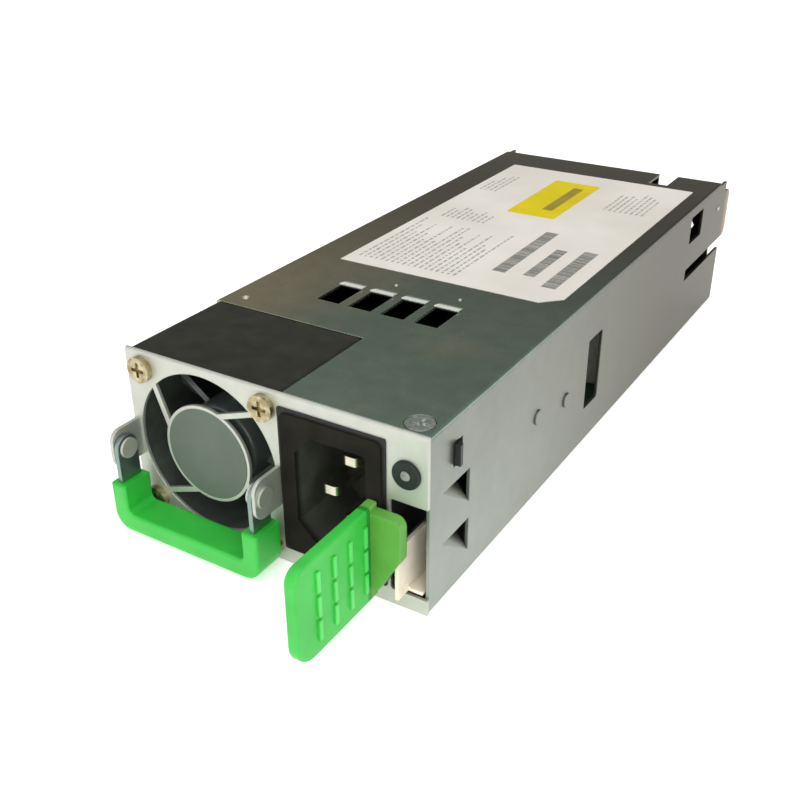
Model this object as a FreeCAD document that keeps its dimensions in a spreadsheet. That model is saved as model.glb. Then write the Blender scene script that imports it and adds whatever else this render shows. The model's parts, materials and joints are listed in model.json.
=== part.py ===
import FreeCAD, Part
import math
import os
from types import SimpleNamespace
import Sketcher
from FreeCAD import Placement, Rotation, Vector

# Hot swap server power supply, a slide-in module for a one unit server.
# Millimetres. X runs across the front with the inlet on the right, Y runs from the front panel into
# the server, and Z runs up from the floor of the case. The front panel's outer face is the plane Y = 0.

SIZES = {
    # Case, bent from one gauge of steel sheet
    "case_width": 73.5,
    "case_height": 40.0,
    "case_length": 185.0,
    "sheet": 0.8,
    "bend_radius": 0.6,
    "slip_gap": 0.2,
    "seat_gap": 0.05,
    "tab_reach": 5.0,
    "tab_low": 21.0,
    "tab_high": 36.0,
    "tab_round": 2.5,
    "tab_relief": 3.4,
    "panel_flange": 8.2,
    "wall_slot_start": 76.0,
    "wall_slot_length": 8.5,
    "wall_slot_low": 9.8,
    "wall_slot_high": 28.3,
    "rear_slot_setback": 34.0,
    "rear_slot_length": 11.0,
    "rear_slot_low": 29.0,
    "rear_slot_high": 37.0,
    "lance_start": 5.4,
    "lance_run": 11.0,
    "lance_drop": 8.0,
    "lance_angle": 40.0,
    "lance_trim": 0.6,
    "lance_low_top": 13.6,
    "lance_high_top": 25.4,
    # Top cover
    "cover_end_gap": 5.7,
    "cover_flange": 5.0,
    "cover_flange_gap": 0.1,
    "cover_lip": 4.0,
    "air_slot_width": 6.2,
    "air_slot_length": 9.5,
    "air_slot_start": 41.5,
    "air_slot_first": -14.2,
    "air_slot_pitch": 8.6,
    "air_slot_count": 4,
    "air_flap_length": 3.0,
    "air_flap_rise": 0.6,
    "notch_left": 17.0,
    "notch_width": 6.0,
    "notch_depth": 10.8,
    "cover_screw_inset": 4.25,
    "cover_screw_y": 4.2,
    # Rear panel
    "rear_panel_gap": 1.0,
    "card_window_margin": 2.0,
    "card_window_height": 6.0,
    "vent_radius": 2.6,
    "vent_pitch": 6.2,
    "vent_columns": 10,
    "vent_rows": 2,
    "vent_bottom": 15.6,
    "rear_notch_reach": 5.0,
    "rear_notch_depth": 3.5,
    # Fan, the common 40 mm frame
    "fan_side": 39.8,
    "fan_depth": 28.0,
    "fan_edge": 0.4,
    "fan_gap": 0.4,
    "fan_lift": 0.1,
    "fan_corner": 1.2,
    "fan_bore": 18.6,
    "fan_screw_pitch": 32.0,
    "fan_hole": 1.75,
    "fan_tip_gap": 0.6,
    "hub_radius": 9.6,
    "hub_length": 19.0,
    "hub_front": 3.0,
    "hub_wall": 1.2,
    "blade_count": 7,
    "blade_thick": 1.1,
    "blade_lean": 36.0,
    "blade_twist": 14.0,
    "blade_chord": 15.0,
    "shaft_radius": 1.5,
    "shaft_gap": 0.05,
    "bearing_outer": 3.0,
    "bearing_length": 4.0,
    "tube_wall": 0.8,
    "motor_plate": 2.0,
    "strut_width": 2.2,
    "strut_turn": 15.0,
    "tube_gap": 1.0,
    "bearing_inset": 0.5,
    "coil_radius": 7.6,
    "coil_length": 9.0,
    # Finger guard, stamped in the front panel
    "guard_radius": 18.2,
    "guard_disc": 11.2,
    "spoke_width": 1.2,
    "spoke_offset": 8.2,
    "spoke_turn": 19.4,
    # Fan screws
    "screw_head": 2.9,
    "screw_head_rise": 1.4,
    "screw_shank": 1.6,
    "screw_length": 7.0,
    "recess_width": 0.8,
    "recess_length": 3.4,
    "recess_depth": 0.8,
    # Mains inlet
    "inlet_gap": 0.35,
    "inlet_z": 20.4,
    "inlet_flange_width": 23.2,
    "inlet_flange_height": 32.0,
    "inlet_flange_rise": 0.8,
    "inlet_flange_round": 1.5,
    "inlet_wall": 1.4,
    "inlet_cavity_width": 16.5,
    "inlet_cavity_height": 24.2,
    "inlet_cavity_depth": 17.5,
    "inlet_chamfer": 4.2,
    "inlet_back": 3.0,
    "pin_width": 4.0,
    "pin_thick": 2.0,
    "pin_reach": 13.5,
    "earth_lead": 1.5,
    "pin_pitch": 14.0,
    "pin_offset": 2.0,
    "pin_tail": 5.0,
    # Status light
    "light_inset": 4.45,
    "light_drop": 8.8,
    "bezel_radius": 3.0,
    "bezel_body": 2.4,
    "bezel_rise": 0.8,
    "bezel_depth": 3.0,
    "lens_radius": 1.1,
    "lamp_radius": 1.5,
    "lamp_length": 2.6,
    "lamp_foot_half": 3.0,
    "lamp_foot_thick": 1.0,
    # Latch opening, release lever and its leaf spring
    "latch_width": 8.35,
    "latch_low": 3.5,
    "latch_high": 24.7,
    "leaf_thick": 0.8,
    "leaf_inset": 4.75,
    "leaf_hinge_y": 42.0,
    "leaf_bend_rear": 37.0,
    "leaf_bend_front": 24.0,
    "leaf_low": 4.4,
    "leaf_step": 12.0,
    "leaf_front_top": 16.2,
    "leaf_top": 24.0,
    "leaf_split": 0.15,
    "leaf_root_length": 30.0,
    "leaf_root_low": 13.0,
    "leaf_root_high": 26.0,
    "tooth_front": 9.8,
    "tooth_length": 2.8,
    "tooth_low": 29.4,
    "tooth_high": 34.0,
    "tooth_proud": 1.3,
    "tooth_gap": 0.35,
    "leaf_arm_margin": 1.0,
    "rivet_radius": 1.2,
    "rivet_head": 1.8,
    "rivet_head_rise": 0.4,
    "rivet_front_y": 48.1,
    "rivet_front_z": 21.2,
    "rivet_rear_y": 64.1,
    "rivet_rear_z": 18.0,
    "lever_reach": 7.4,
    "lever_thick": 2.4,
    "lever_front": 28.0,
    "lever_low": 3.0,
    "lever_high": 24.5,
    "lever_round_big": 5.0,
    "lever_round_small": 3.0,
    "lever_root_gap": 1.9,
    "lever_root_thick": 2.5,
    "lever_root_low": 6.0,
    "lever_root_high": 23.3,
    "lever_root_margin": 1.0,
    "lever_grip_depth": 1.5,
    "lever_root_round": 2.0,
    "lever_root_foot": 1.5,
    "lever_root_cut": 8.5,
    "lever_edge_round": 0.5,
    "rib_width": 0.9,
    "rib_height": 4.4,
    "rib_rise": 0.5,
    "rib_start": 6.5,
    "rib_pitch_y": 5.0,
    "rib_pitch_z": 5.4,
    "rib_columns": 4,
    "rib_rows": 3,
    # Bail handle in front of the fan
    "handle_half": 19.8,
    "grip_low": 0.6,
    "grip_bar": 4.3,
    "grip_arm": 4.0,
    "grip_top": 11.7,
    "grip_depth": 8.0,
    "grip_gap": 1.8,
    "grip_round": 4.0,
    "grip_inner_round": 1.2,
    "grip_edge_round": 0.7,
    "strap_thick": 1.0,
    "strap_inset": 1.4,
    "strap_width": 5.6,
    "ear_gap": 0.2,
    "ear_margin": 2.8,
    "ear_low": 14.6,
    "ear_high": 23.6,
    "ear_round": 2.6,
    "pivot_z": 19.4,
    "pivot_radius": 1.5,
    "pivot_gap": 0.06,
    "pivot_head": 2.3,
    "pivot_head_rise": 0.6,
    # Circuit board and what stands on it
    "board_thick": 1.6,
    "board_lift": 5.0,
    "board_start": 46.0,
    "board_side_gap": 2.0,
    "board_end_gap": 4.5,
    "card_width": 40.0,
    "card_recess": 1.0,
    "contact_count": 24,
    "contact_length": 7.0,
    "contact_thick": 0.1,
    "contact_edge": 0.6,
    "film_thick": 0.3,
    "post_radius": 2.6,
    "post_bore": 1.3,
    "post_inset": 5.0,
    "board_screw_head": 2.4,
    "board_screw_rise": 1.2,
    "film_gap": 0.4,
    "winding_thick": 1.6,
    "winding_gap": 0.1,
    "choke_inset": 13.95,
    "choke_back": 20.0,
    "choke_radius": 8.5,
    "choke_core": 6.0,
    "choke_tall": 9.0,
    "boost_inset": 15.95,
    "boost_back": 22.0,
    "boost_radius": 11.0,
    "boost_core": 7.5,
    "boost_tall": 13.0,
    "bulk_inset": 15.95,
    "bulk_back": 42.0,
    "bulk_radius": 14.5,
    "bulk_bead": 6.0,
    "bulk_groove": 0.9,
    "bulk_gap": 3.0,
    "sink_thick": 3.0,
    "sink_height": 29.0,
    "sink_back": 38.0,
    "sink_end_gap": 36.2,
    "sink_x": 8.0,
    "sink_fin": 5.0,
    "sink_fin_thick": 1.2,
    "sink_fin_count": 5,
    "transistor_width": 15.0,
    "transistor_height": 20.0,
    "transistor_thick": 4.8,
    "transistor_pitch": 17.3,
    "transistor_leg": 4.0,
    "leg_pitch": 5.4,
    "leg_width": 1.2,
    "leg_thick": 0.8,
    "core_length": 30.0,
    "core_width": 30.0,
    "core_height": 26.0,
    "core_leg": 6.0,
    "core_end_gap": 2.2,
    "core_lift": 2.0,
    "coil_margin": 0.8,
    "coil_overhang": 3.0,
    "can_radius": 4.0,
    "can_height": 16.0,
    "can_count": 3,
    "can_pitch": 8.6,
    "can_x": 3.0,
    "can_end_gap": 6.0,
    "relay_x": 2.0,
    "relay_back": 16.0,
    "relay_width": 12.0,
    "relay_depth": 16.0,
    "relay_height": 15.0,
    "bridge_x": 1.5,
    "bridge_back": 30.0,
    "bridge_width": 14.0,
    "bridge_depth": 5.0,
    "bridge_height": 18.0,
    "filter_inset": 9.95,
    "filter_back": 38.0,
    "filter_width": 9.0,
    "filter_depth": 14.0,
    "filter_height": 16.0,
    "standby_inset": 7.95,
    "standby_back": 58.0,
    "standby_width": 13.0,
    "standby_depth": 16.0,
    "standby_height": 16.0,
    "control_inset": 3.95,
    "control_gap": 1.0,
    "control_end_gap": 13.2,
    "control_height": 28.0,
    "socket_gap": 4.15,
    "socket_back": 4.5,
    "socket_width": 8.0,
    "socket_depth": 5.0,
    "socket_height": 6.0,
    "moulding_round": 0.8,
    "wire_radius": 1.0,
    "wire_bend": 3.0,
    "wire_clear": 2.0,
    "lamp_wire_radius": 0.7,
    "lamp_wire_drop": 10.0,
}


class Size:
    """A length or angle worked out from the sheet: its number, and the text that binds it to the cells."""

    def __init__(self, number, text=None):
        self.number = float(number)
        self.text = text or f"({self.number!r})"

    def __add__(self, other):
        other = as_size(other)
        return Size(self.number + other.number, f"({self.text} + {other.text})")

    def __sub__(self, other):
        other = as_size(other)
        return Size(self.number - other.number, f"({self.text} - {other.text})")

    def __mul__(self, other):
        other = as_size(other)
        return Size(self.number * other.number, f"({self.text} * {other.text})")

    def __truediv__(self, other):
        other = as_size(other)
        return Size(self.number / other.number, f"({self.text} / {other.text})")

    def __radd__(self, other):
        return as_size(other) + self

    def __rsub__(self, other):
        return as_size(other) - self

    def __rmul__(self, other):
        return as_size(other) * self

    def __neg__(self):
        return Size(-self.number, f"(-{self.text})")


def as_size(value):
    return value if isinstance(value, Size) else Size(value)


def direction(rise, run):
    """Angle in degrees of a line that climbs by rise over run."""
    rise, run = as_size(rise), as_size(run)
    return Size(math.degrees(math.atan2(rise.number, run.number)), f"atan2({rise.text}; {run.text})")


def long_side(across, up):
    """Length of the sloping side over two square sides."""
    across, up = as_size(across), as_size(up)
    return Size(math.hypot(across.number, up.number),
                f"sqrt({across.text} * {across.text} + {up.text} * {up.text})")


def short_side(slope, up):
    """The square side left of a sloping side once the other square side is known."""
    slope, up = as_size(slope), as_size(up)
    return Size(math.sqrt(slope.number ** 2 - up.number ** 2),
                f"sqrt({slope.text} * {slope.text} - {up.text} * {up.text})")


def fill_sheet(document):
    sheet = document.addObject("Spreadsheet::Sheet", "Sizes")
    cells = SimpleNamespace()
    for row, (alias, number) in enumerate(SIZES.items(), 1):
        sheet.set(f"A{row}", alias)
        sheet.set(f"B{row}", str(number))
        sheet.setAlias(f"B{row}", alias)
        setattr(cells, alias, Size(number, f"Sizes.{alias}"))
    document.recompute()
    return cells


doc = FreeCAD.newDocument("PowerSupply")
s = fill_sheet(doc)
nodes = []

TURN_TO = {
    "x": Rotation(Vector(0, 1, 0), 90),
    "y": Rotation(Vector(1, 0, 0), -90),
    "z": Rotation(),
}
SKETCH_LEVEL = {"XY_Plane": 1, "XZ_Plane": -1, "YZ_Plane": 1}


# Binding and small makers

def bind(thing, path, value):
    thing.setExpression(path, as_size(value).text)


def place(thing, x=0, y=0, z=0):
    for edge, value in zip("xyz", (x, y, z)):
        bind(thing, f"Placement.Base.{edge}", value)
    return thing


def node(thing, name):
    """Keep a finished sub-part for export, under its own label."""
    thing.Label = name
    nodes.append(thing)
    return thing


def box(name, x, y, z):
    """A block between (low, high) pairs on each axis."""
    thing = doc.addObject("Part::Box", name)
    for side, (low, high) in zip(("Length", "Width", "Height"), (x, y, z)):
        bind(thing, side, as_size(high) - low)
    return place(thing, x[0], y[0], z[0])


def cylinder(name, axis, start, radius, length):
    """A cylinder that begins at start and runs forward along one axis."""
    thing = doc.addObject("Part::Cylinder", name)
    thing.Placement = Placement(Vector(), TURN_TO[axis])
    bind(thing, "Radius", radius)
    bind(thing, "Height", length)
    return place(thing, *start)


def fuse(name, pieces):
    thing = doc.addObject("Part::MultiFuse", name)
    thing.Shapes = pieces
    thing.Refine = True
    return thing


def cut(name, base, tools):
    thing = doc.addObject("Part::Cut", name)
    thing.Base = base
    thing.Tool = tools[0] if len(tools) == 1 else fuse(name + "_tools", tools)
    return thing


def tube(name, start, outer, inner, length):
    rod = cylinder(name + "_rod", "z", start, outer, length)
    bore = cylinder(name + "_bore", "z", start, inner, length)
    return cut(name + "_tube", rod, [bore])


def group(name, pieces):
    thing = doc.addObject("Part::Compound", name)
    thing.Links = pieces
    return thing


def new_body(name):
    return doc.addObject("PartDesign::Body", name)


def circle(across, up, radius):
    return SimpleNamespace(centre=(as_size(across), as_size(up)), radius=as_size(radius))


def rectangle(low_across, high_across, low_up, high_up, round_by=0):
    corners = ((low_across, low_up), (high_across, low_up), (high_across, high_up), (low_across, high_up))
    return [(across, up, round_by) for across, up in corners]


def hexagon(radius):
    half = radius * math.sqrt(3) / 2
    return [(radius, 0), (radius / 2, half), (-radius / 2, half),
            (-radius, 0), (-radius / 2, -half), (radius / 2, -half)]


def attach(sketch, body, plane, level, origin, turn):
    """Lay a sketch parallel to one of its body's origin planes, at a level along that plane's axis."""
    support = next(item for item in body.Origin.OriginFeatures if item.Role == plane)
    sketch.AttachmentSupport = [(support, "")]
    sketch.MapMode = "FlatFace"
    bind(sketch, "AttachmentOffset.Base.x", origin[0])
    bind(sketch, "AttachmentOffset.Base.y", origin[1])
    bind(sketch, "AttachmentOffset.Base.z", as_size(level) * SKETCH_LEVEL[plane])
    if turn:
        bind(sketch, "AttachmentOffset.Rotation.Yaw", turn[0])
        bind(sketch, "AttachmentOffset.Rotation.Roll", turn[1])


def draw_circle(sketch, loop):
    across, up = loop.centre
    centre = Vector(across.number, up.number, 0)
    index = sketch.addGeometry(Part.Circle(centre, Vector(0, 0, 1), loop.radius.number), False)
    pin_point(sketch, index, 3, across, up)
    name = sketch.addConstraint(Sketcher.Constraint("Radius", index, loop.radius.number))
    bind(sketch, f"Constraints[{name}]", loop.radius)


def pin_point(sketch, index, end, across, up):
    for kind, value in (("DistanceX", across), ("DistanceY", up)):
        name = sketch.addConstraint(Sketcher.Constraint(kind, -1, 1, index, end, value.number))
        bind(sketch, f"Constraints[{name}]", value)


def corner_points(before, here, after, radius):
    """Where a corner's arc meets its two edges, with the arc's centre."""
    to_before = (before - here).normalize()
    to_after = (after - here).normalize()
    half = to_before.getAngle(to_after) / 2
    reach = radius / math.tan(half)
    middle = (to_before + to_after).normalize()
    return here + to_before * reach, here + to_after * reach, here + middle * (radius / math.sin(half))


def draw_arc(sketch, arrive, leave, centre, radius, turns_left):
    first, last = (arrive, leave) if turns_left else (leave, arrive)
    angles = [math.atan2(point.y - centre.y, point.x - centre.x) for point in (first, last)]
    if angles[1] < angles[0]:
        angles[1] += 2 * math.pi
    arc = Part.ArcOfCircle(Part.Circle(centre, Vector(0, 0, 1), radius), *angles)
    return sketch.addGeometry(arc, False)


def draw_outline(sketch, loop):
    """A closed outline through (across, up) corners; a third value rounds that corner."""
    corners = [(as_size(c[0]), as_size(c[1]), as_size(c[2]) if len(c) > 2 else as_size(0)) for c in loop]
    points = [Vector(across.number, up.number, 0) for across, up, _ in corners]
    count = len(corners)
    arrive, leave, centres = list(points), list(points), [None] * count
    for i, (_, _, radius) in enumerate(corners):
        if radius.number > 0:
            arrive[i], leave[i], centres[i] = corner_points(
                points[i - 1], points[i], points[(i + 1) % count], radius.number)
    lines = [sketch.addGeometry(Part.LineSegment(leave[i], arrive[(i + 1) % count]), False)
             for i in range(count)]
    for i, (across, up, radius) in enumerate(corners):
        before, after = lines[i - 1], lines[i]
        if radius.number <= 0:
            sketch.addConstraint(Sketcher.Constraint("Coincident", before, 2, after, 1))
            pin_point(sketch, after, 1, across, up)
            continue
        turns_left = (points[i] - points[i - 1]).cross(points[(i + 1) % count] - points[i]).z > 0
        arc = draw_arc(sketch, arrive[i], leave[i], centres[i], radius.number, turns_left)
        start, end = (1, 2) if turns_left else (2, 1)
        sketch.addConstraint(Sketcher.Constraint("Tangent", before, 2, arc, start))
        sketch.addConstraint(Sketcher.Constraint("Tangent", arc, end, after, 1))
        corner = sketch.addGeometry(Part.Point(points[i]), True)
        sketch.addConstraint(Sketcher.Constraint("PointOnObject", corner, 1, before))
        sketch.addConstraint(Sketcher.Constraint("PointOnObject", corner, 1, after))
        pin_point(sketch, corner, 1, across, up)
        name = sketch.addConstraint(Sketcher.Constraint("Radius", arc, radius.number))
        bind(sketch, f"Constraints[{name}]", radius)


def draw(body, name, plane, level, *loops, origin=(0, 0), turn=None):
    sketch = body.newObject("Sketcher::SketchObject", name)
    attach(sketch, body, plane, level, origin, turn)
    for loop in loops:
        if isinstance(loop, SimpleNamespace):
            draw_circle(sketch, loop)
        else:
            draw_outline(sketch, loop)
    return sketch


def points_backwards(sketch):
    return sketch.AttachmentSupport[0][0].Role == "XZ_Plane"


def pad(body, sketch, length, forward=True):
    """Raise a sketch, forward meaning towards larger X, Y or Z."""
    feature = body.newObject("PartDesign::Pad", sketch.Name + "_pad")
    feature.Profile = sketch
    feature.Reversed = forward == points_backwards(sketch)
    bind(feature, "Length", length)
    return feature


def pocket(body, sketch, length, forward=True):
    feature = body.newObject("PartDesign::Pocket", sketch.Name + "_pocket")
    feature.Profile = sketch
    feature.Reversed = forward != points_backwards(sketch)
    bind(feature, "Length", length)
    return feature


def spin(body, sketch, kind="Revolution"):
    """Turn a sketch right round its own upright axis, or groove the body with it."""
    feature = body.newObject(f"PartDesign::{kind}", sketch.Name + "_turned")
    feature.Profile = sketch
    feature.ReferenceAxis = (sketch, ["V_Axis"])
    feature.Angle = 360
    return feature


def polar(body, originals, sketch, count):
    feature = body.newObject("PartDesign::PolarPattern", originals[0].Name + "_round")
    feature.Originals = originals
    feature.Axis = (sketch, ["N_Axis"])
    feature.Angle = 360
    bind(feature, "Occurrences", count)
    body.Tip = feature
    return feature


def linear(body, originals, sketch, axis, pitch, count):
    feature = body.newObject("PartDesign::LinearPattern", originals[0].Name + "_row")
    feature.Originals = originals
    feature.Direction = (sketch, [axis])
    bind(feature, "Length", pitch * (count - 1))
    bind(feature, "Occurrences", count)
    body.Tip = feature
    return feature


def grid(body, original, sketch, steps):
    """Repeat one feature in rows and columns; steps holds (axis, pitch, count) for each."""
    feature = body.newObject("PartDesign::MultiTransform", original.Name + "_grid")
    feature.Originals = [original]
    rows = []
    for axis, pitch, count in steps:
        row = body.newObject("PartDesign::LinearPattern", f"{original.Name}_{axis[0]}")
        row.Direction = (sketch, [axis])
        bind(row, "Length", pitch * (count - 1))
        bind(row, "Occurrences", count)
        rows.append(row)
    feature.Transformations = rows
    body.Tip = feature
    return feature


def soften(body, radius, pick):
    """Round the edges of the body so far that pick accepts."""
    doc.recompute()
    base = body.Tip
    names = [f"Edge{i}" for i, edge in enumerate(base.Shape.Edges, 1) if pick(edge)]
    feature = body.newObject("PartDesign::Fillet", base.Name + "_soft")
    feature.Base = (base, names)
    bind(feature, "Radius", radius)
    return feature


def runs_along(edge, axis):
    if len(edge.Vertexes) != 2 or edge.Curve.TypeId != "Part::GeomLine":
        return False
    way = edge.Vertexes[1].Point - edge.Vertexes[0].Point
    return abs(getattr(way, axis)) > 0.999 * way.Length


def lies_at(edge, **levels):
    box_around = edge.BoundBox
    return all(abs(getattr(box_around, axis + side) - level.number) < 0.01
               for axis, level in levels.items() for side in ("Min", "Max"))


# Places that several sub-parts share

half_width = s.case_width / 2
wall_inner = half_width - s.sheet
roof = s.case_height - s.sheet
cover_end = s.case_length - s.cover_end_gap
rear_panel_y = cover_end - s.rear_panel_gap - s.sheet * 2
fan_x = s.fan_edge + s.fan_side / 2 - half_width
fan_z = s.case_height / 2
fan_tall = s.case_height - s.fan_lift * 2
fan_right = fan_x + s.fan_side / 2 + s.fan_gap
fan_back = s.sheet + s.fan_depth
fan_cut = fan_back + s.fan_gap
inlet_x = fan_x + s.fan_side / 2 + s.inlet_gap + s.inlet_flange_width / 2
light_x = half_width - s.light_inset
light_z = s.case_height - s.light_drop
lamp_back = s.bezel_depth + s.lamp_length + s.lamp_foot_thick
latch_left = half_width - s.latch_width
cover_screw_x = half_width - s.cover_screw_inset
rear_slot_start = s.case_length - s.rear_slot_setback
pivot_y = -(s.grip_gap + s.grip_depth / 2)
arm_outer = s.handle_half - s.strap_inset
arm_inner = arm_outer - s.strap_thick
ear_inner = arm_outer + s.ear_gap
board_top = s.board_lift + s.board_thick
board_half = wall_inner - s.board_side_gap
board_end = rear_panel_y - s.board_end_gap
card_end = s.case_length - s.card_recess
tooth_back = s.tooth_front + s.tooth_length
leaf_front = -(s.lever_root_gap + s.lever_grip_depth)
leaf_x = half_width - s.leaf_inset
leaf_inner = leaf_x - s.leaf_thick / 2
leaf_outer = leaf_x + s.leaf_thick / 2
lever_x = leaf_x - s.lever_reach
lever_right = lever_x + s.lever_thick
inlet_floor = s.inlet_cavity_depth - s.inlet_flange_rise
pin_end = inlet_floor + s.inlet_back + s.pin_tail
core_start = board_end - s.core_end_gap - s.core_length
bulk_start = s.board_start + s.bulk_back
bulk_x = s.bulk_inset - board_half
bulk_length = core_start - s.coil_overhang - s.bulk_gap - bulk_start
sink_start = s.board_start + s.sink_back
sink_length = board_end - s.sink_end_gap - sink_start
transistor_count = int(sink_length.number // s.transistor_pitch.number)
socket_x = fan_right + s.socket_gap
socket_front = s.board_start + s.socket_back - s.socket_depth / 2
RIVETS = ((s.rivet_front_y, s.rivet_front_z), (s.rivet_rear_y, s.rivet_rear_z))
FAN_CORNERS = [(across, up) for across in (-1, 1) for up in (-1, 1)]


# The case

def wall_openings():
    """The two rectangular slots in the right wall."""
    return [
        rectangle(s.wall_slot_start, s.wall_slot_start + s.wall_slot_length,
                  s.wall_slot_low, s.wall_slot_high, 0.6),
        rectangle(rear_slot_start, rear_slot_start + s.rear_slot_length,
                  s.rear_slot_low, s.rear_slot_high, 0.6),
    ]


def wall_outline(front):
    """A side wall seen from the right, with its rounded lead-in tab cut free at the rear."""
    tab_end = s.case_length + s.tab_reach
    relief = s.tab_low - s.tab_relief
    return [
        (front, 0), (s.case_length, 0), (s.case_length, relief), (rear_slot_start, relief),
        (rear_slot_start, s.tab_low), (tab_end, s.tab_low, s.tab_round), (tab_end, s.tab_high, s.tab_round),
        (s.case_length, s.tab_high), (s.case_length, roof), (front, roof),
    ]


def lance_flap(body, name, top):
    """A flap cut on two sides of a triangle and bent into the case about the third, its tip trimmed."""
    slope = long_side(s.lance_run, s.lance_drop)
    tip_along = s.lance_run * s.lance_run / slope
    tip_up = s.lance_run * s.lance_drop / slope * s.lance_trim
    flap = draw(body, name, "YZ_Plane", half_width,
                [(0, 0), (slope, 0), (slope + (tip_along - slope) * s.lance_trim, tip_up),
                 (tip_along * s.lance_trim, tip_up)],
                origin=(s.lance_start, top),
                turn=(direction(-s.lance_drop, s.lance_run), -s.lance_angle))
    pad(body, flap, s.sheet, forward=False)


def base_tray():
    body = new_body("base_tray")
    floor = draw(body, "tray_floor", "XY_Plane", 0, [
        (fan_right, s.sheet), (half_width, s.sheet), (half_width, s.case_length),
        (-half_width, s.case_length), (-half_width, fan_cut), (fan_right, fan_cut)])
    pad(body, floor, s.sheet)
    lance_end = s.lance_start + s.lance_run
    lance_holes = [[(s.lance_start, top), (lance_end, top - s.lance_drop), (lance_end, top)]
                   for top in (s.lance_low_top, s.lance_high_top)]
    tooth_window = rectangle(s.tooth_front - s.tooth_gap, tooth_back + s.tooth_gap,
                             s.tooth_low - s.tooth_gap, s.tooth_high + s.tooth_gap)
    right = draw(body, "tray_right_wall", "YZ_Plane", wall_inner, wall_outline(s.sheet),
                 *wall_openings(), tooth_window, *lance_holes,
                 *(circle(y, z, s.rivet_radius) for y, z in RIVETS))
    pad(body, right, s.sheet)
    left = draw(body, "tray_left_wall", "YZ_Plane", -half_width, wall_outline(fan_cut))
    pad(body, left, s.sheet)
    soften(body, s.bend_radius, lambda edge: runs_along(edge, "y") and (
        lies_at(edge, X=half_width, Z=as_size(0)) or lies_at(edge, X=-half_width, Z=as_size(0))))
    lance_flap(body, "tray_low_flap", s.lance_low_top)
    lance_flap(body, "tray_high_flap", s.lance_high_top)
    return node(body, "base_tray")


def cover_side_flanges(body):
    """Strips that hang inside the walls, broken where the rear slots are."""
    outer = wall_inner - s.cover_flange_gap
    spans = ((fan_cut + 1, rear_slot_start - 1),
             (rear_slot_start + s.rear_slot_length + 1, cover_end))
    sides = ((-outer, s.sheet - outer), (outer - s.sheet, outer))
    loops = [rectangle(left, right, start, end) for left, right in sides for start, end in spans]
    flanges = draw(body, "cover_flanges", "XY_Plane", roof, *loops)
    pad(body, flanges, s.cover_flange, forward=False)


def cover_air_slots(body):
    """Slots with a lifted flap along the rear edge of each."""
    left = s.air_slot_first - s.air_slot_width / 2
    flap_front = s.air_slot_start + s.air_slot_length
    flap_rear = flap_front + s.air_flap_length
    slot = draw(body, "air_slot", "XY_Plane", roof,
                rectangle(left, left + s.air_slot_width, s.air_slot_start, flap_rear))
    hole = pocket(body, slot, s.sheet)
    flap = draw(body, "air_flap", "YZ_Plane", left, [
        (flap_rear, roof), (flap_rear, s.case_height),
        (flap_front, s.case_height + s.air_flap_rise), (flap_front, roof + s.air_flap_rise)])
    tongue = pad(body, flap, s.air_slot_width)
    linear(body, [hole, tongue], slot, "H_Axis", s.air_slot_pitch, s.air_slot_count)


def top_cover():
    body = new_body("top_cover")
    notch_right = s.notch_left + s.notch_width
    notch_front = cover_end - s.notch_depth
    plate = draw(body, "cover_plate", "XY_Plane", roof, [
        (fan_right, s.sheet), (half_width, s.sheet), (half_width, cover_end),
        (notch_right, cover_end), (notch_right, notch_front), (s.notch_left, notch_front),
        (s.notch_left, cover_end), (-half_width, cover_end), (-half_width, fan_cut), (fan_right, fan_cut)],
        circle(cover_screw_x, s.cover_screw_y, s.screw_head + s.slip_gap))
    pad(body, plate, s.sheet)
    soften(body, s.bend_radius, lambda edge: runs_along(edge, "y") and (
        lies_at(edge, X=half_width, Z=s.case_height) or lies_at(edge, X=-half_width, Z=s.case_height)))
    cover_side_flanges(body)
    lip = draw(body, "cover_rear_lip", "XY_Plane", roof, rectangle(
        -wall_inner + s.sheet * 3, s.notch_left, cover_end - s.sheet, cover_end))
    pad(body, lip, s.cover_lip, forward=False)
    cover_air_slots(body)
    return node(body, "top_cover")


def cut_finger_guard(body):
    """Fan opening with four swept spokes that carry a blank disc, left standing in the panel."""
    opening = draw(body, "fan_opening", "XZ_Plane", 0, circle(0, 0, s.guard_radius), origin=(fan_x, fan_z))
    pocket(body, opening, s.sheet)
    half = s.spoke_width / 2
    spoke = draw(body, "guard_spoke", "XZ_Plane", 0, rectangle(
        short_side(s.guard_disc, s.spoke_offset) - s.spoke_width,
        short_side(s.guard_radius, s.spoke_offset) + s.spoke_width,
        s.spoke_offset - half, s.spoke_offset + half),
        origin=(fan_x, fan_z), turn=(s.spoke_turn, 0))
    polar(body, [pad(body, spoke, s.sheet)], spoke, 4)
    disc = draw(body, "guard_disc", "XZ_Plane", 0, circle(0, 0, s.guard_disc), origin=(fan_x, fan_z))
    pad(body, disc, s.sheet)


def bend_ears(body):
    """Two ears that stand forward of the panel and carry the handle's pivots."""
    for name, level in (("left_ear", fan_x - ear_inner - s.sheet), ("right_ear", fan_x + ear_inner)):
        ear = draw(body, name, "YZ_Plane", level, [
            (s.sheet, s.ear_low), (pivot_y - s.ear_margin, s.ear_low, s.ear_round),
            (pivot_y - s.ear_margin, s.ear_high, s.ear_round), (s.sheet, s.ear_high)],
            circle(pivot_y, s.pivot_z, s.pivot_radius))
        pad(body, ear, s.sheet)


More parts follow.
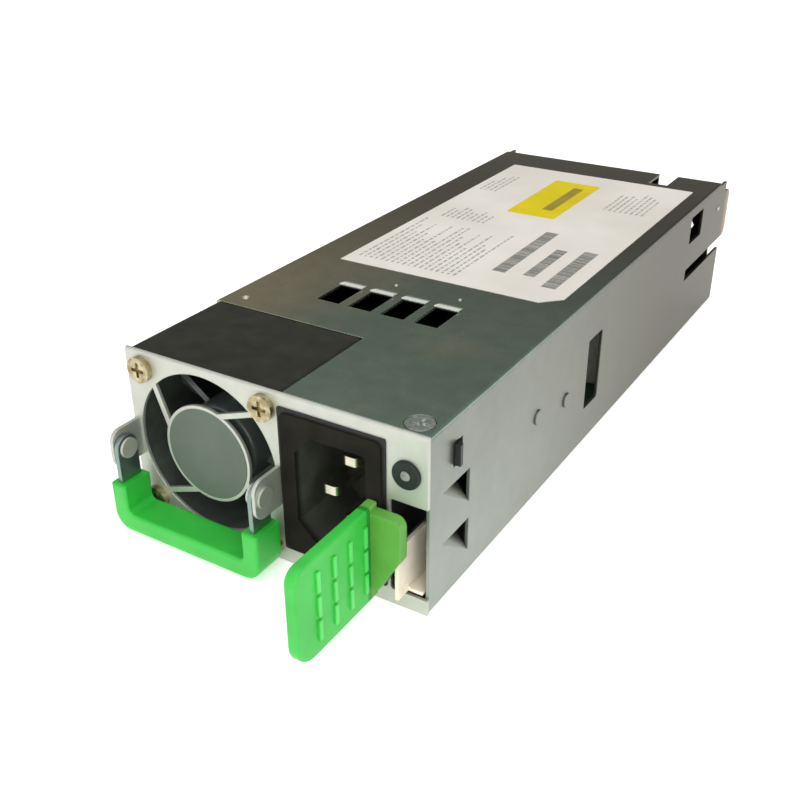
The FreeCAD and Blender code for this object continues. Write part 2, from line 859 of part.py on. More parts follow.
def front_panel():
    body = new_body("front_panel")
    window_half_width = s.inlet_cavity_width / 2 + s.inlet_wall
    window_half_height = s.inlet_cavity_height / 2 + s.inlet_wall
    screw_step = s.fan_screw_pitch / 2
    plate = draw(body, "panel_plate", "XZ_Plane", 0, [
        (-half_width, 0), (half_width, 0), (half_width, s.latch_low), (latch_left, s.latch_low, 0.8),
        (latch_left, s.latch_high, 0.8), (half_width, s.latch_high),
        (half_width, s.case_height), (-half_width, s.case_height)],
        rectangle(inlet_x - window_half_width, inlet_x + window_half_width,
                  s.inlet_z - window_half_height, s.inlet_z + window_half_height),
        circle(light_x, light_z, s.bezel_body + s.seat_gap),
        *(circle(fan_x + screw_step * across, fan_z + screw_step * up, s.screw_shank + s.slip_gap)
          for across, up in FAN_CORNERS))
    pad(body, plate, s.sheet)
    soften(body, s.bend_radius, lambda edge: runs_along(edge, "x") and lies_at(
        edge, Y=as_size(0), Z=s.case_height))
    cut_finger_guard(body)
    bend_ears(body)
    top = draw(body, "panel_top_flange", "XY_Plane", roof - s.sheet, rectangle(
        fan_right + 1, wall_inner - s.slip_gap, s.sheet, s.sheet + s.panel_flange),
        circle(cover_screw_x, s.cover_screw_y, s.screw_shank + s.seat_gap))
    pad(body, top, s.sheet)
    bottom = draw(body, "panel_bottom_flange", "XY_Plane", s.sheet, rectangle(
        fan_right + 1, latch_left, s.sheet, s.sheet + s.panel_flange))
    pad(body, bottom, s.sheet)
    return node(body, "front_panel")


def rear_panel():
    body = new_body("rear_panel")
    wide = wall_inner - s.slip_gap
    narrow = wall_inner - s.cover_flange_gap - s.sheet - s.slip_gap
    step = roof - s.cover_flange - s.slip_gap
    top = roof - s.slip_gap
    card_half = s.card_width / 2 + s.card_window_margin
    window_low = s.board_lift - s.card_window_margin
    notch_right = s.notch_left + s.notch_width
    notch_left = s.notch_left - s.rear_notch_reach
    notch_floor = top - s.rear_notch_depth
    plate = draw(body, "rear_plate", "XZ_Plane", rear_panel_y, [
        (-wide, s.sheet), (wide, s.sheet), (wide, step), (narrow, step),
        (narrow, top), (notch_right, top), (notch_right, notch_floor), (notch_left, notch_floor),
        (notch_left, top), (-narrow, top), (-narrow, step), (-wide, step)],
        rectangle(-card_half, card_half, window_low, window_low + s.card_window_height))
    pad(body, plate, s.sheet)
    row_pitch = s.vent_pitch * 3 ** 0.5
    half_row = s.vent_pitch * (s.vent_columns - 1) / 2
    starts = (("vent_even", 0, 0, s.vent_columns),
              ("vent_odd", s.vent_pitch / 2, row_pitch / 2, s.vent_columns - 1))
    for name, across, up, columns in starts:
        hole = draw(body, name, "XZ_Plane", rear_panel_y, hexagon(s.vent_radius),
                    origin=(across - half_row, s.vent_bottom + up))
        grid(body, pocket(body, hole, s.sheet), hole,
             (("H_Axis", s.vent_pitch, columns), ("V_Axis", row_pitch, s.vent_rows)))
    flange = draw(body, "rear_flange", "XY_Plane", s.sheet, rectangle(
        -wide, wide, rear_panel_y - s.board_end_gap + 1, rear_panel_y))
    pad(body, flange, s.sheet)
    return node(body, "rear_panel")


# Fasteners

def cross_recess(name, axis, centre, across_axes):
    """Two crossed bars to cut from a screw head; centre is the middle of the recess floor."""
    bars = []
    for long_axis in across_axes:
        spans = {}
        for key, middle in zip("xyz", centre):
            if key == axis[-1]:
                floor_to_face = (0, s.recess_depth) if axis[0] == "+" else (-s.recess_depth, 0)
                spans[key] = tuple(middle + step for step in floor_to_face)
            else:
                half = (s.recess_length if key == long_axis else s.recess_width) / 2
                spans[key] = (middle - half, middle + half)
        bars.append(box(f"{name}_{long_axis}", spans["x"], spans["y"], spans["z"]))
    return bars


def front_screw(name, across, up):
    """A screw driven into the front panel, its head standing forward of it."""
    head = cylinder(name + "_head", "y", (across, -s.screw_head_rise, up), s.screw_head, s.screw_head_rise)
    shank = cylinder(name + "_shank", "y", (across, 0, up), s.screw_shank, s.screw_length)
    blank = fuse(name + "_blank", [head, shank])
    recess = cross_recess(name + "_recess", "-y", (across, -s.screw_head_rise + s.recess_depth, up), "xz")
    return cut(name, blank, recess)


def top_screw(name, x, y, seat, head, rise, shank, length):
    """A screw driven downwards, its head standing on the level seat."""
    return fuse(name, [
        cylinder(name + "_head", "z", (x, y, seat), head, rise),
        cylinder(name + "_shank", "z", (x, y, seat - length), shank, length)])


def fan_screws():
    step = s.fan_screw_pitch / 2
    screws = [front_screw(f"fan_screw_{i}", fan_x + step * across, fan_z + step * up)
              for i, (across, up) in enumerate(FAN_CORNERS)]
    return node(group("fan_screw_set", screws), "fan_screws")


def cover_screw():
    blank = top_screw("cover_screw_blank", cover_screw_x, s.cover_screw_y, roof,
                      s.screw_head, s.sheet, s.screw_shank, s.sheet * 3)
    recess = cross_recess("cover_screw_recess", "+z",
                          (cover_screw_x, s.cover_screw_y, s.case_height - s.recess_depth / 2), "xy")
    return node(cut("cover_screw_body", blank, recess), "cover_screw")


# The fan

def fan_frame():
    """A square block as tall as the case leaves room for, bored for the rotor and its four screws."""
    body = new_body("fan_frame")
    wide, tall = s.fan_side / 2, fan_tall / 2
    step = s.fan_screw_pitch / 2
    block_face = draw(body, "fan_block", "XZ_Plane", 0, rectangle(-wide, wide, -tall, tall, s.fan_corner),
                      circle(0, 0, s.fan_bore),
                      *(circle(step * across, step * up, s.fan_hole) for across, up in FAN_CORNERS))
    pad(body, block_face, s.fan_depth)
    return node(place(body, fan_x, s.sheet, fan_z), "fan_frame")


def motor_mount():
    """The plate behind the rotor, its tube for the bearings and the struts that hold it in the duct."""
    body = new_body("motor_mount")
    plate_front = s.fan_depth - s.motor_plate
    plate = draw(body, "motor_plate", "XZ_Plane", plate_front, circle(0, 0, s.hub_radius))
    pad(body, plate, s.motor_plate)
    strut = draw(body, "motor_strut", "XZ_Plane", plate_front, rectangle(
        s.hub_radius - s.strut_width / 2, s.fan_bore - s.seat_gap, -s.strut_width / 2, s.strut_width / 2),
        turn=(s.strut_turn, 0))
    polar(body, [pad(body, strut, s.motor_plate)], strut, 4)
    tube_front = s.hub_front + s.hub_wall + s.tube_gap
    sleeve = draw(body, "bearing_tube", "XZ_Plane", tube_front, circle(0, 0, s.bearing_outer + s.tube_wall))
    pad(body, sleeve, plate_front - tube_front)
    seat = draw(body, "bearing_seat", "XZ_Plane", tube_front, circle(0, 0, s.bearing_outer))
    pocket(body, seat, plate_front - tube_front)
    return node(place(body, fan_x, s.sheet, fan_z), "motor_mount")


def blade_section(body, name, level, chord, lean):
    """The cambered section of a blade at one radius, leaning away from the shaft's direction."""
    half = chord / 2
    thick = s.blade_thick / 2
    camber = s.blade_thick
    return draw(body, name, "YZ_Plane", level, [
        (-half, -thick), (0, camber - thick), (half, -thick),
        (half, thick), (0, camber + thick), (-half, thick)],
        origin=(s.hub_front + s.hub_length / 2, 0), turn=(lean, 0))


def fan_rotor():
    """A hub cup with twisted blades, lofted from root to tip and trimmed to the duct."""
    body = new_body("fan_rotor")
    back = s.hub_front + s.hub_length
    inner = s.hub_radius - s.hub_wall
    cup = draw(body, "hub_cup", "XY_Plane", 0, [
        (0, s.hub_front), (s.hub_radius, s.hub_front, 1.0), (s.hub_radius, back), (inner, back),
        (inner, s.hub_front + s.hub_wall), (0, s.hub_front + s.hub_wall)])
    spin(body, cup)
    root = blade_section(body, "blade_root", inner + s.hub_wall / 4, s.blade_chord * 0.8, s.blade_lean)
    tip = blade_section(body, "blade_tip", s.fan_bore + 1, s.blade_chord, s.blade_lean + s.blade_twist)
    blade = body.newObject("PartDesign::AdditiveLoft", "blade")
    blade.Profile = root
    blade.Sections = [tip]
    blade.Ruled = True
    face = draw(body, "hub_axis", "XZ_Plane", 0, circle(0, 0, s.shaft_radius))
    polar(body, [blade], face, s.blade_count)
    sweep = draw(body, "tip_trim", "XY_Plane", 0, rectangle(
        s.fan_bore - s.fan_tip_gap, s.fan_bore + s.fan_corner * 2, 0, s.fan_depth))
    spin(body, sweep, "Groove")
    return node(place(body, fan_x, s.sheet, fan_z), "fan_rotor")


def fan_shaft():
    start = s.sheet + s.hub_front + s.hub_wall
    length = s.fan_depth - s.motor_plate - s.hub_front - s.hub_wall - s.slip_gap
    return node(cylinder("fan_shaft_rod", "y", (fan_x, start, fan_z), s.shaft_radius, length), "fan_shaft")


def fan_bearings():
    front = s.sheet + s.hub_front + s.hub_wall + s.tube_gap + s.bearing_inset
    rear = s.sheet + s.fan_depth - s.motor_plate - s.bearing_length
    rings = []
    for name, y in (("front", front), ("rear", rear)):
        outer = cylinder(f"{name}_bearing_outer", "y", (fan_x, y, fan_z), s.bearing_outer, s.bearing_length)
        bore = cylinder(f"{name}_bearing_bore", "y", (fan_x, y, fan_z),
                        s.shaft_radius + s.shaft_gap, s.bearing_length)
        rings.append(cut(f"{name}_bearing", outer, [bore]))
    return node(group("bearing_pair", rings), "fan_bearings")


def fan_stator():
    body = new_body("fan_stator")
    start = s.hub_front + s.hub_length - s.coil_length
    coil = draw(body, "stator_ring", "XZ_Plane", start, circle(0, 0, s.coil_radius),
                circle(0, 0, s.bearing_outer + s.tube_wall + s.seat_gap))
    pad(body, coil, s.coil_length)
    slot = draw(body, "stator_slot", "XZ_Plane", start, rectangle(
        s.coil_radius - 2.4, s.coil_radius + 1, -0.8, 0.8), turn=(45, 0))
    polar(body, [pocket(body, slot, s.coil_length)], slot, 4)
    return node(place(body, fan_x, s.sheet, fan_z), "fan_stator")


# Mains inlet and status light

def inlet_cavity(grow):
    """The inlet's six-sided outline, with the two corners cut on the earth pin's side."""
    wide = s.inlet_cavity_width / 2 + grow
    tall = s.inlet_cavity_height / 2 + grow
    slope = s.inlet_chamfer
    return [(-wide + slope, -tall), (wide, -tall, 1), (wide, tall, 1), (-wide + slope, tall),
            (-wide, tall - slope), (-wide, slope - tall)]


def pin_places():
    """Line, neutral and earth: across, up and how much further forward the pin reaches."""
    step = s.pin_pitch / 2
    return (("line", s.pin_offset, step, 0), ("neutral", s.pin_offset, -step, 0),
            ("earth", -s.pin_offset, as_size(0), s.earth_lead))


def inlet_housing():
    body = new_body("inlet_housing")
    half_width_flange = s.inlet_flange_width / 2
    half_height_flange = s.inlet_flange_height / 2
    flange = draw(body, "inlet_flange", "XZ_Plane", -s.inlet_flange_rise, rectangle(
        -half_width_flange, half_width_flange, -half_height_flange, half_height_flange, s.inlet_flange_round))
    pad(body, flange, s.inlet_flange_rise)
    shell = draw(body, "inlet_shell", "XZ_Plane", 0, inlet_cavity(s.inlet_wall))
    pad(body, shell, inlet_floor + s.inlet_back)
    cavity = draw(body, "inlet_hollow", "XZ_Plane", -s.inlet_flange_rise, inlet_cavity(0))
    pocket(body, cavity, s.inlet_cavity_depth)
    wide, tall = s.pin_width / 2, s.pin_thick / 2
    slots = [rectangle(across - wide, across + wide, up - tall, up + tall)
             for _, across, up, _ in pin_places()]
    pin_slots = draw(body, "inlet_pin_slots", "XZ_Plane", inlet_floor, *slots)
    pocket(body, pin_slots, s.inlet_back)
    return node(place(body, inlet_x, 0, s.inlet_z), "inlet_housing")


def inlet_pins():
    pins = []
    for name, across, up, extra in pin_places():
        body = new_body(f"{name}_pin")
        tip = inlet_floor - s.pin_reach - extra
        blade = draw(body, f"{name}_blade", "XY_Plane", up - s.pin_thick / 2, [
            (across - s.pin_width / 2, tip, 1.2), (across + s.pin_width / 2, tip, 1.2),
            (across + s.pin_width / 2, pin_end), (across - s.pin_width / 2, pin_end)])
        pad(body, blade, s.pin_thick)
        pins.append(place(body, inlet_x, 0, s.inlet_z))
    return node(group("pin_set", pins), "inlet_pins")


def light_bezel():
    body = new_body("light_bezel")
    ring = draw(body, "bezel_profile", "XY_Plane", 0, [
        (s.lens_radius, -s.bezel_rise), (s.bezel_radius, -s.bezel_rise, 0.4), (s.bezel_radius, 0),
        (s.bezel_body, 0), (s.bezel_body, s.bezel_depth), (s.lens_radius, s.bezel_depth)])
    spin(body, ring)
    return node(place(body, light_x, 0, light_z), "light_bezel")


def light_pipe():
    body = new_body("light_pipe")
    start = -s.bezel_rise - s.slip_gap
    rod = draw(body, "pipe_profile", "XY_Plane", 0, [
        (0, start), (s.lens_radius, start, 0.5), (s.lens_radius, s.bezel_depth), (0, s.bezel_depth)])
    spin(body, rod)
    return node(place(body, light_x, 0, light_z), "light_pipe")


def status_light():
    lamp = cylinder("lamp_dome", "y", (light_x, s.bezel_depth, light_z), s.lamp_radius, s.lamp_length)
    half = s.lamp_foot_half
    foot = box("lamp_foot", (light_x - half, light_x + half),
               (lamp_back - s.lamp_foot_thick, lamp_back), (light_z - half, light_z + half))
    return node(fuse("lamp", [lamp, foot]), "status_light")


# Release lever, leaf spring and latch tooth

def latch_root():
    """The riveted end of the leaf spring, flat against the right wall."""
    body = new_body("latch_root")
    plate = draw(body, "root_plate", "YZ_Plane", wall_inner - s.leaf_thick, rectangle(
        s.leaf_hinge_y, s.leaf_hinge_y + s.leaf_root_length, s.leaf_root_low, s.leaf_root_high, 2),
        *(circle(y, z, s.rivet_radius) for y, z in RIVETS))
    pad(body, plate, s.leaf_thick)
    return node(body, "latch_root")


def latch_rivets():
    rivets = []
    for i, (y, z) in enumerate(RIVETS):
        inner = wall_inner - s.leaf_thick - s.rivet_head_rise
        rivets.append(fuse(f"latch_rivet_{i}", [
            cylinder(f"latch_rivet_{i}_shank", "x", (inner, y, z), s.rivet_radius, half_width - inner),
            cylinder(f"latch_rivet_{i}_inner", "x", (inner, y, z), s.rivet_head, s.rivet_head_rise),
            cylinder(f"latch_rivet_{i}_outer", "x", (half_width, y, z), s.rivet_head, s.rivet_head_rise)]))
    return node(group("latch_rivet_set", rivets), "latch_rivets")


def latch_spring():
    """The free part of the leaf: a strip that steps inwards, an arm that rises from it and the tooth."""
    body = new_body("latch_spring")
    hinge = s.leaf_hinge_y - s.leaf_split
    root_inner = wall_inner - s.leaf_thick
    strip = draw(body, "leaf_strip", "XY_Plane", s.leaf_low, [
        (wall_inner, hinge), (root_inner, hinge), (root_inner, s.leaf_bend_rear),
        (leaf_inner, s.leaf_bend_front), (leaf_inner, leaf_front), (leaf_outer, leaf_front),
        (leaf_outer, s.leaf_bend_front), (wall_inner, s.leaf_bend_rear)])
    pad(body, strip, s.leaf_top - s.leaf_low)
    arm_front = s.tooth_front - s.leaf_arm_margin
    arm_back = tooth_back + s.leaf_arm_margin
    waste = draw(body, "leaf_waste", "YZ_Plane", leaf_inner - 1,
                 rectangle(leaf_front - 1, arm_front, s.leaf_front_top, s.leaf_top + 1),
                 rectangle(arm_back + s.leaf_arm_margin, hinge + 1, s.leaf_low - 1, s.leaf_step))
    pocket(body, waste, wall_inner - leaf_inner + 2)
    arm = draw(body, "leaf_arm", "YZ_Plane", leaf_inner,
               rectangle(arm_front, arm_back, s.leaf_front_top, s.tooth_high))
    pad(body, arm, s.leaf_thick)
    reach = half_width + s.tooth_proud
    tooth = draw(body, "latch_tooth", "XY_Plane", s.tooth_low, [
        (leaf_inner, s.tooth_front), (reach, s.tooth_front), (reach, s.tooth_front + s.tooth_length / 3),
        (half_width - s.tooth_gap, tooth_back), (leaf_inner, tooth_back)])
    pad(body, tooth, s.tooth_high - s.tooth_low)
    return node(body, "latch_spring")


def lever_ribs(body):
    """Rows of short raised ribs on the thumb side of the lever."""
    rib = draw(body, "lever_rib", "YZ_Plane", lever_right, rectangle(
        -s.rib_width / 2, s.rib_width / 2, -s.rib_height / 2, s.rib_height / 2),
        origin=(s.rib_start - s.lever_front, s.lever_low + s.rib_pitch_z))
    grid(body, pad(body, rib, s.rib_rise), rib,
         (("H_Axis", s.rib_pitch_y, s.rib_columns), ("V_Axis", s.rib_pitch_z, s.rib_rows)))


def release_lever():
    body = new_body("release_lever")
    plate = draw(body, "lever_plate", "YZ_Plane", lever_x, [
        (-s.lever_root_gap, s.lever_low), (-s.lever_front, s.lever_low, s.lever_round_big),
        (-s.lever_front, s.lever_high, s.lever_round_small), (-s.lever_root_gap, s.lever_high)])
    pad(body, plate, s.lever_thick)
    soften(body, s.lever_edge_round, lambda edge: lies_at(edge, X=lever_x) or lies_at(edge, X=lever_right))
    root_front = -(s.lever_root_gap + s.lever_root_thick)
    root_right = leaf_outer + s.lever_root_margin
    root_foot = lever_right + s.lever_root_foot
    root = draw(body, "lever_root", "XZ_Plane", root_front, [
        (lever_right - 1, s.lever_root_low), (root_foot, s.lever_root_low),
        (root_right, s.lever_root_low + s.lever_root_cut, s.lever_root_round),
        (root_right, s.lever_root_high, s.lever_root_round), (lever_right - 1, s.lever_root_high)])
    pad(body, root, s.lever_root_thick)
    slot = draw(body, "lever_slot", "XZ_Plane", leaf_front, rectangle(
        leaf_inner, leaf_outer, s.leaf_low, s.leaf_front_top))
    pocket(body, slot, s.lever_grip_depth)
    lever_ribs(body)
    return node(body, "release_lever")


# Bail handle

def handle_bail():
    body = new_body("handle_bail")
    low = s.grip_low + (s.grip_bar - s.strap_thick) / 2
    high = s.pivot_z + s.strap_width / 2
    front = pivot_y - s.strap_width / 2
    strap = draw(body, "bail_strap", "XZ_Plane", front, [
        (-arm_outer, high), (-arm_outer, low, 2), (arm_outer, low, 2), (arm_outer, high),
        (arm_inner, high), (arm_inner, low + s.strap_thick, 1), (-arm_inner, low + s.strap_thick, 1),
        (-arm_inner, high)], origin=(fan_x, 0))
    pad(body, strap, s.strap_width)
    soften(body, s.strap_width / 2 - 0.05, lambda edge: runs_along(edge, "x") and lies_at(edge, Z=high))
    eye = draw(body, "bail_eye", "YZ_Plane", fan_x - arm_outer, circle(
        pivot_y, s.pivot_z, s.pivot_radius + s.pivot_gap))
    pocket(body, eye, arm_outer * 2)
    return node(body, "handle_bail")


def handle_grip(bail):
    """The plastic grip, moulded round the lower part of the steel bail."""
    body = new_body("grip_moulding")
    front = -(s.grip_gap + s.grip_depth)
    inner = s.handle_half - s.grip_arm
    bar_top = s.grip_low + s.grip_bar
    shape = draw(body, "grip_shape", "XZ_Plane", front, [
        (-s.handle_half, s.grip_top), (-s.handle_half, s.grip_low, s.grip_round),
        (s.handle_half, s.grip_low, s.grip_round), (s.handle_half, s.grip_top),
        (inner, s.grip_top), (inner, bar_top, s.grip_inner_round), (-inner, bar_top, s.grip_inner_round),
        (-inner, s.grip_top)], origin=(fan_x, 0))
    pad(body, shape, s.grip_depth)
    soften(body, s.grip_edge_round, lambda edge: lies_at(edge, Y=front) or lies_at(edge, Y=-s.grip_gap))
    return node(cut("grip", body, [bail]), "handle_grip")


def handle_rivets():
    """Two pins that the handle turns on, headed on both sides."""
    pins = []
    play = s.slip_gap
    shank_start = arm_inner - play
    shank_length = ear_inner + s.sheet - shank_start
    for name, side in (("left", -1), ("right", 1)):
        def start_at(near, length):
            return fan_x + near if side > 0 else fan_x - near - length
        stations = (("shank", shank_start, s.pivot_radius, shank_length),
                    ("inner_head", shank_start - s.pivot_head_rise, s.pivot_head, s.pivot_head_rise),
                    ("outer_head", ear_inner + s.sheet, s.pivot_head, s.pivot_head_rise))
        pins.append(fuse(f"{name}_pivot", [
            cylinder(f"{name}_{part}", "x", (start_at(near, length), pivot_y, s.pivot_z), radius, length)
            for part, near, radius, length in stations]))
    return node(group("pivot_pair", pins), "handle_rivets")


# Circuit board and what it carries

def post_places():
    across = board_half - s.post_inset
    rows = (s.board_start + s.post_inset, board_end - s.post_inset)
    return [(side * across, row) for side in (-1, 1) for row in rows]


def main_board():
    body = new_body("main_board")
    card_half = s.card_width / 2
    board = draw(body, "board_outline", "XY_Plane", s.board_lift, [
        (-board_half, s.board_start), (board_half, s.board_start), (board_half, board_end),
        (card_half, board_end), (card_half, card_end, 0.8), (-card_half, card_end, 0.8),
        (-card_half, board_end), (-board_half, board_end)],
        *(circle(x, y, s.post_bore) for x, y in post_places()))
    pad(body, board, s.board_thick)
    return node(body, "main_board")


def edge_contacts():
    pitch = (s.card_width - 2) / s.contact_count
    pads = []
    for i in range(int(s.contact_count.number)):
        left = 1 - s.card_width / 2 + pitch * i
        across = (left, left + pitch * s.contact_edge)
        along = (card_end - s.contact_length - 0.5, card_end - 0.5)
        for name, low in (("top", board_top), ("bottom", s.board_lift - s.contact_thick)):
            pads.append(box(f"contact_{name}_{i}", across, along, (low, low + s.contact_thick)))
    return node(group("contact_set", pads), "edge_contacts")


def insulator_film():
    film = box("film", (-board_half, board_half), (s.board_start, board_end),
               (s.sheet, s.sheet + s.film_thick))
    holes = [cylinder(f"film_hole_{i}", "z", (x, y, s.sheet), s.post_radius + s.film_gap, s.film_thick)
             for i, (x, y) in enumerate(post_places())]
    return node(cut("film_cut", film, holes), "insulator_film")


def board_posts():
    posts = [tube(f"post_{i}", (x, y, s.sheet), s.post_radius, s.post_bore, s.board_lift - s.sheet)
             for i, (x, y) in enumerate(post_places())]
    return node(group("post_set", posts), "board_posts")


def board_screws():
    screws = [top_screw(f"board_screw_{i}", x, y, board_top, s.board_screw_head, s.board_screw_rise,
                        s.post_bore, s.board_lift) for i, (x, y) in enumerate(post_places())]
    return node(group("board_screw_set", screws), "board_screws")


def toroid(name, x, y, radius, core, tall):
    """A ring core lying on the board, with a winding round each half of it."""
    low = board_top + s.winding_thick
    ring = tube(name + "_ring", (x, y, low), radius, radius - core, tall)
    halves = []
    for side, turn in (("first", 20), ("second", 200)):
        sector = cylinder(f"{name}_{side}", "z", (x, y, board_top), radius + s.winding_thick,
                          tall + s.winding_thick * 2)
        sector.Placement.Rotation = Rotation(Vector(0, 0, 1), turn)
        sector.Angle = 140
        hollow = cylinder(f"{name}_{side}_hollow", "z", (x, y, board_top),
                          radius - core - s.winding_thick, tall + s.winding_thick * 2)
        core_space = tube(f"{name}_{side}_core", (x, y, low), radius + s.winding_gap,
                          radius - core - s.winding_gap, tall)
        halves.append(cut(f"{name}_{side}_winding", sector, [hollow, core_space]))
    return node(ring, name + "_core"), node(group(name + "_halves", halves), name + "_windings")


def bulk_capacitor():
    """The large storage capacitor, lying along the board with a grooved sleeve end."""
    body = new_body("bulk_capacitor")
    groove = s.bulk_radius - s.bulk_groove
    bead = bulk_length - s.bulk_bead
    can = draw(body, "bulk_can", "XY_Plane", 0, [
        (0, 0), (s.bulk_radius, 0), (s.bulk_radius, bead), (groove, bead + s.bulk_groove),
        (s.bulk_radius, bead + s.bulk_groove * 2), (s.bulk_radius, bulk_length), (0, bulk_length)])
    spin(body, can)
    return node(place(body, bulk_x, bulk_start, board_top + s.bulk_radius), "bulk_capacitor")


def heat_sink():
    """An upright aluminium sink: a web along the board with short fins on its left."""
    body = new_body("heat_sink")
    foot = draw(body, "sink_web", "XY_Plane", board_top, rectangle(
        s.sink_x, s.sink_x + s.sink_thick, sink_start, sink_start + sink_length))
    pad(body, foot, s.sink_height)
    fin = draw(body, "sink_fin", "XZ_Plane", sink_start, rectangle(
        s.sink_x - s.sink_fin, s.sink_x, board_top, board_top + s.sink_fin_thick),
        origin=(0, s.sink_fin_thick))
    pitch = (s.sink_height - s.sink_fin_thick * 2) / s.sink_fin_count
    linear(body, [pad(body, fin, sink_length)], fin, "V_Axis", pitch, s.sink_fin_count)
    return node(body, "heat_sink")


def power_transistors():
    """Tab packages standing against the flat side of the sink, legs in the board."""
    pieces = []
    face = s.sink_x + s.sink_thick
    legs_top = board_top + s.transistor_leg
    half = s.transistor_width / 2
    leg_half = s.leg_width / 2
    leg_left = face + s.transistor_thick / 2
    for i in range(transistor_count):
        middle = sink_start + s.transistor_pitch * (i + 0.5)
        case = box(f"transistor_{i}_case", (face, face + s.transistor_thick),
                   (middle - half, middle + half), (legs_top, legs_top + s.transistor_height))
        legs = [box(f"transistor_{i}_leg_{j}", (leg_left, leg_left + s.leg_thick),
                    (middle + s.leg_pitch * step - leg_half, middle + s.leg_pitch * step + leg_half),
                    (board_top, legs_top))
                for j, step in enumerate((-1, 0, 1))]
        pieces.append(fuse(f"transistor_{i}", [case] + legs))
    return node(group("transistor_set", pieces), "power_transistors")


def main_transformer():
    """A pair of E cores closed round a wound bobbin."""
    body = new_body("transformer_core")
    half = s.core_width / 2
    low = board_top + s.core_lift
    window_high = s.core_height - s.core_leg
    middle = s.core_leg / 2 + s.coil_margin
    face = draw(body, "core_face", "XZ_Plane", core_start, rectangle(-half, half, low, low + s.core_height),
                rectangle(-half + s.core_leg, -middle, low + s.core_leg, low + window_high),
                rectangle(middle, half - s.core_leg, low + s.core_leg, low + window_high),
                origin=(bulk_x, 0))
    pad(body, face, s.core_length)
    node(body, "transformer_core")
    blocks = []
    coil_half = half - s.core_leg - s.coil_margin
    coil_front = core_start - s.coil_overhang
    coil_rear = core_start + s.core_length
    for i, (left, right) in enumerate(((-coil_half, -middle), (middle, coil_half))):
        blocks.append(box(f"coil_side_{i}", (bulk_x + left, bulk_x + right),
                          (coil_front, coil_rear + s.coil_overhang), (low + s.core_leg, low + window_high)))
    for i, y in enumerate((coil_front, coil_rear)):
        blocks.append(box(f"coil_end_{i}", (bulk_x - coil_half, bulk_x + coil_half),
                          (y, y + s.coil_overhang), (board_top, low + window_high)))
    return node(fuse("transformer_coil", blocks), "transformer_windings")


def output_capacitors():
    """A row of upright cans across the board, in front of its rear edge."""
    y = board_end - s.can_end_gap
    cans = [cylinder(f"output_can_{i}", "z", (s.can_x + s.can_pitch * i, y, board_top),
                     s.can_radius, s.can_height) for i in range(int(s.can_count.number))]
    return node(group("output_can_row", cans), "output_capacitors")


def block(name, x, back, wide, deep, tall):
    """A moulded block standing on the board, back behind its front edge, its upright edges rounded."""
    body = new_body(name)
    base = draw(body, name + "_base", "XY_Plane", board_top,
                rectangle(-wide / 2, wide / 2, -deep / 2, deep / 2, s.moulding_round))
    pad(body, base, tall)
    return node(place(body, x, s.board_start + back, 0), name)


def control_board():
    """A card standing on the main board beside the right wall, behind the standby transformer."""
    left = board_half - s.control_inset - s.board_thick / 2
    front = s.board_start + s.standby_back + s.standby_depth / 2 + s.control_gap
    card = box("control_card", (left, left + s.board_thick), (front, board_end - s.control_end_gap),
               (board_top, board_top + s.control_height))
    return node(card, "control_board")


def wire(name, points, radius, bend):
    """A round wire along straight runs joined by arcs of one bend radius."""
    places = [Vector(*(as_size(value).number for value in point)) for point in points]
    edges = []
    reached = places[0]
    for before, here, after in zip(places, places[1:], places[2:]):
        arrive, leave, centre = corner_points(before, here, after, bend.number)
        middle = centre + (here - centre).normalize() * bend.number
        edges += [Part.makeLine(reached, arrive), Part.Arc(arrive, middle, leave).toShape()]
        reached = leave
    edges.append(Part.makeLine(reached, places[-1]))
    ring = Part.Wire(Part.Circle(places[0], places[1] - places[0], radius.number).toShape())
    thing = doc.addObject("Part::Feature", name)
    thing.Shape = Part.Wire(edges).makePipeShell([ring], True, False)
    return thing


def fan_lead():
    """The fan's lead, from a corner of the frame's rear face over to its socket."""
    x = fan_x + s.fan_side / 2 - s.wire_clear
    z = board_top + s.socket_height / 2
    lead = wire("fan_lead_run", [
        (x, fan_back, z), (x, fan_back + s.wire_bend * 2, z),
        (socket_x, socket_front - s.wire_bend * 2, z), (socket_x, socket_front, z)],
        s.wire_radius, s.wire_bend)
    return node(lead, "fan_lead")


def inlet_wires():
    """One wire straight back from each pin and down into the board, the upper one furthest back."""
    runs = []
    for name, across, up, _ in pin_places():
        x = inlet_x + across
        z = s.inlet_z + up
        y = s.board_start + s.wire_clear * 2 + up / 4
        runs.append(wire(f"{name}_wire", [(x, pin_end, z), (x, y, z), (x, y, board_top)],
                         s.wire_radius, s.wire_bend))
    return node(group("inlet_wire_set", runs), "inlet_wires")


def lamp_leads():
    """The status light's lead, out of the side of its foot, along the case and down to the board."""
    x = inlet_x + s.inlet_cavity_width / 2 + s.inlet_wall + s.lamp_wire_radius * 2
    front = lamp_back - s.lamp_foot_thick / 2
    rear = s.board_start + s.lamp_wire_drop
    lead = wire("lamp_run", [
        (light_x - s.lamp_foot_half, front, light_z), (x, front, light_z),
        (x, rear, light_z), (x, rear, board_top)],
        s.lamp_wire_radius, s.lamp_wire_radius * 3)
    return node(lead, "status_light_lead")


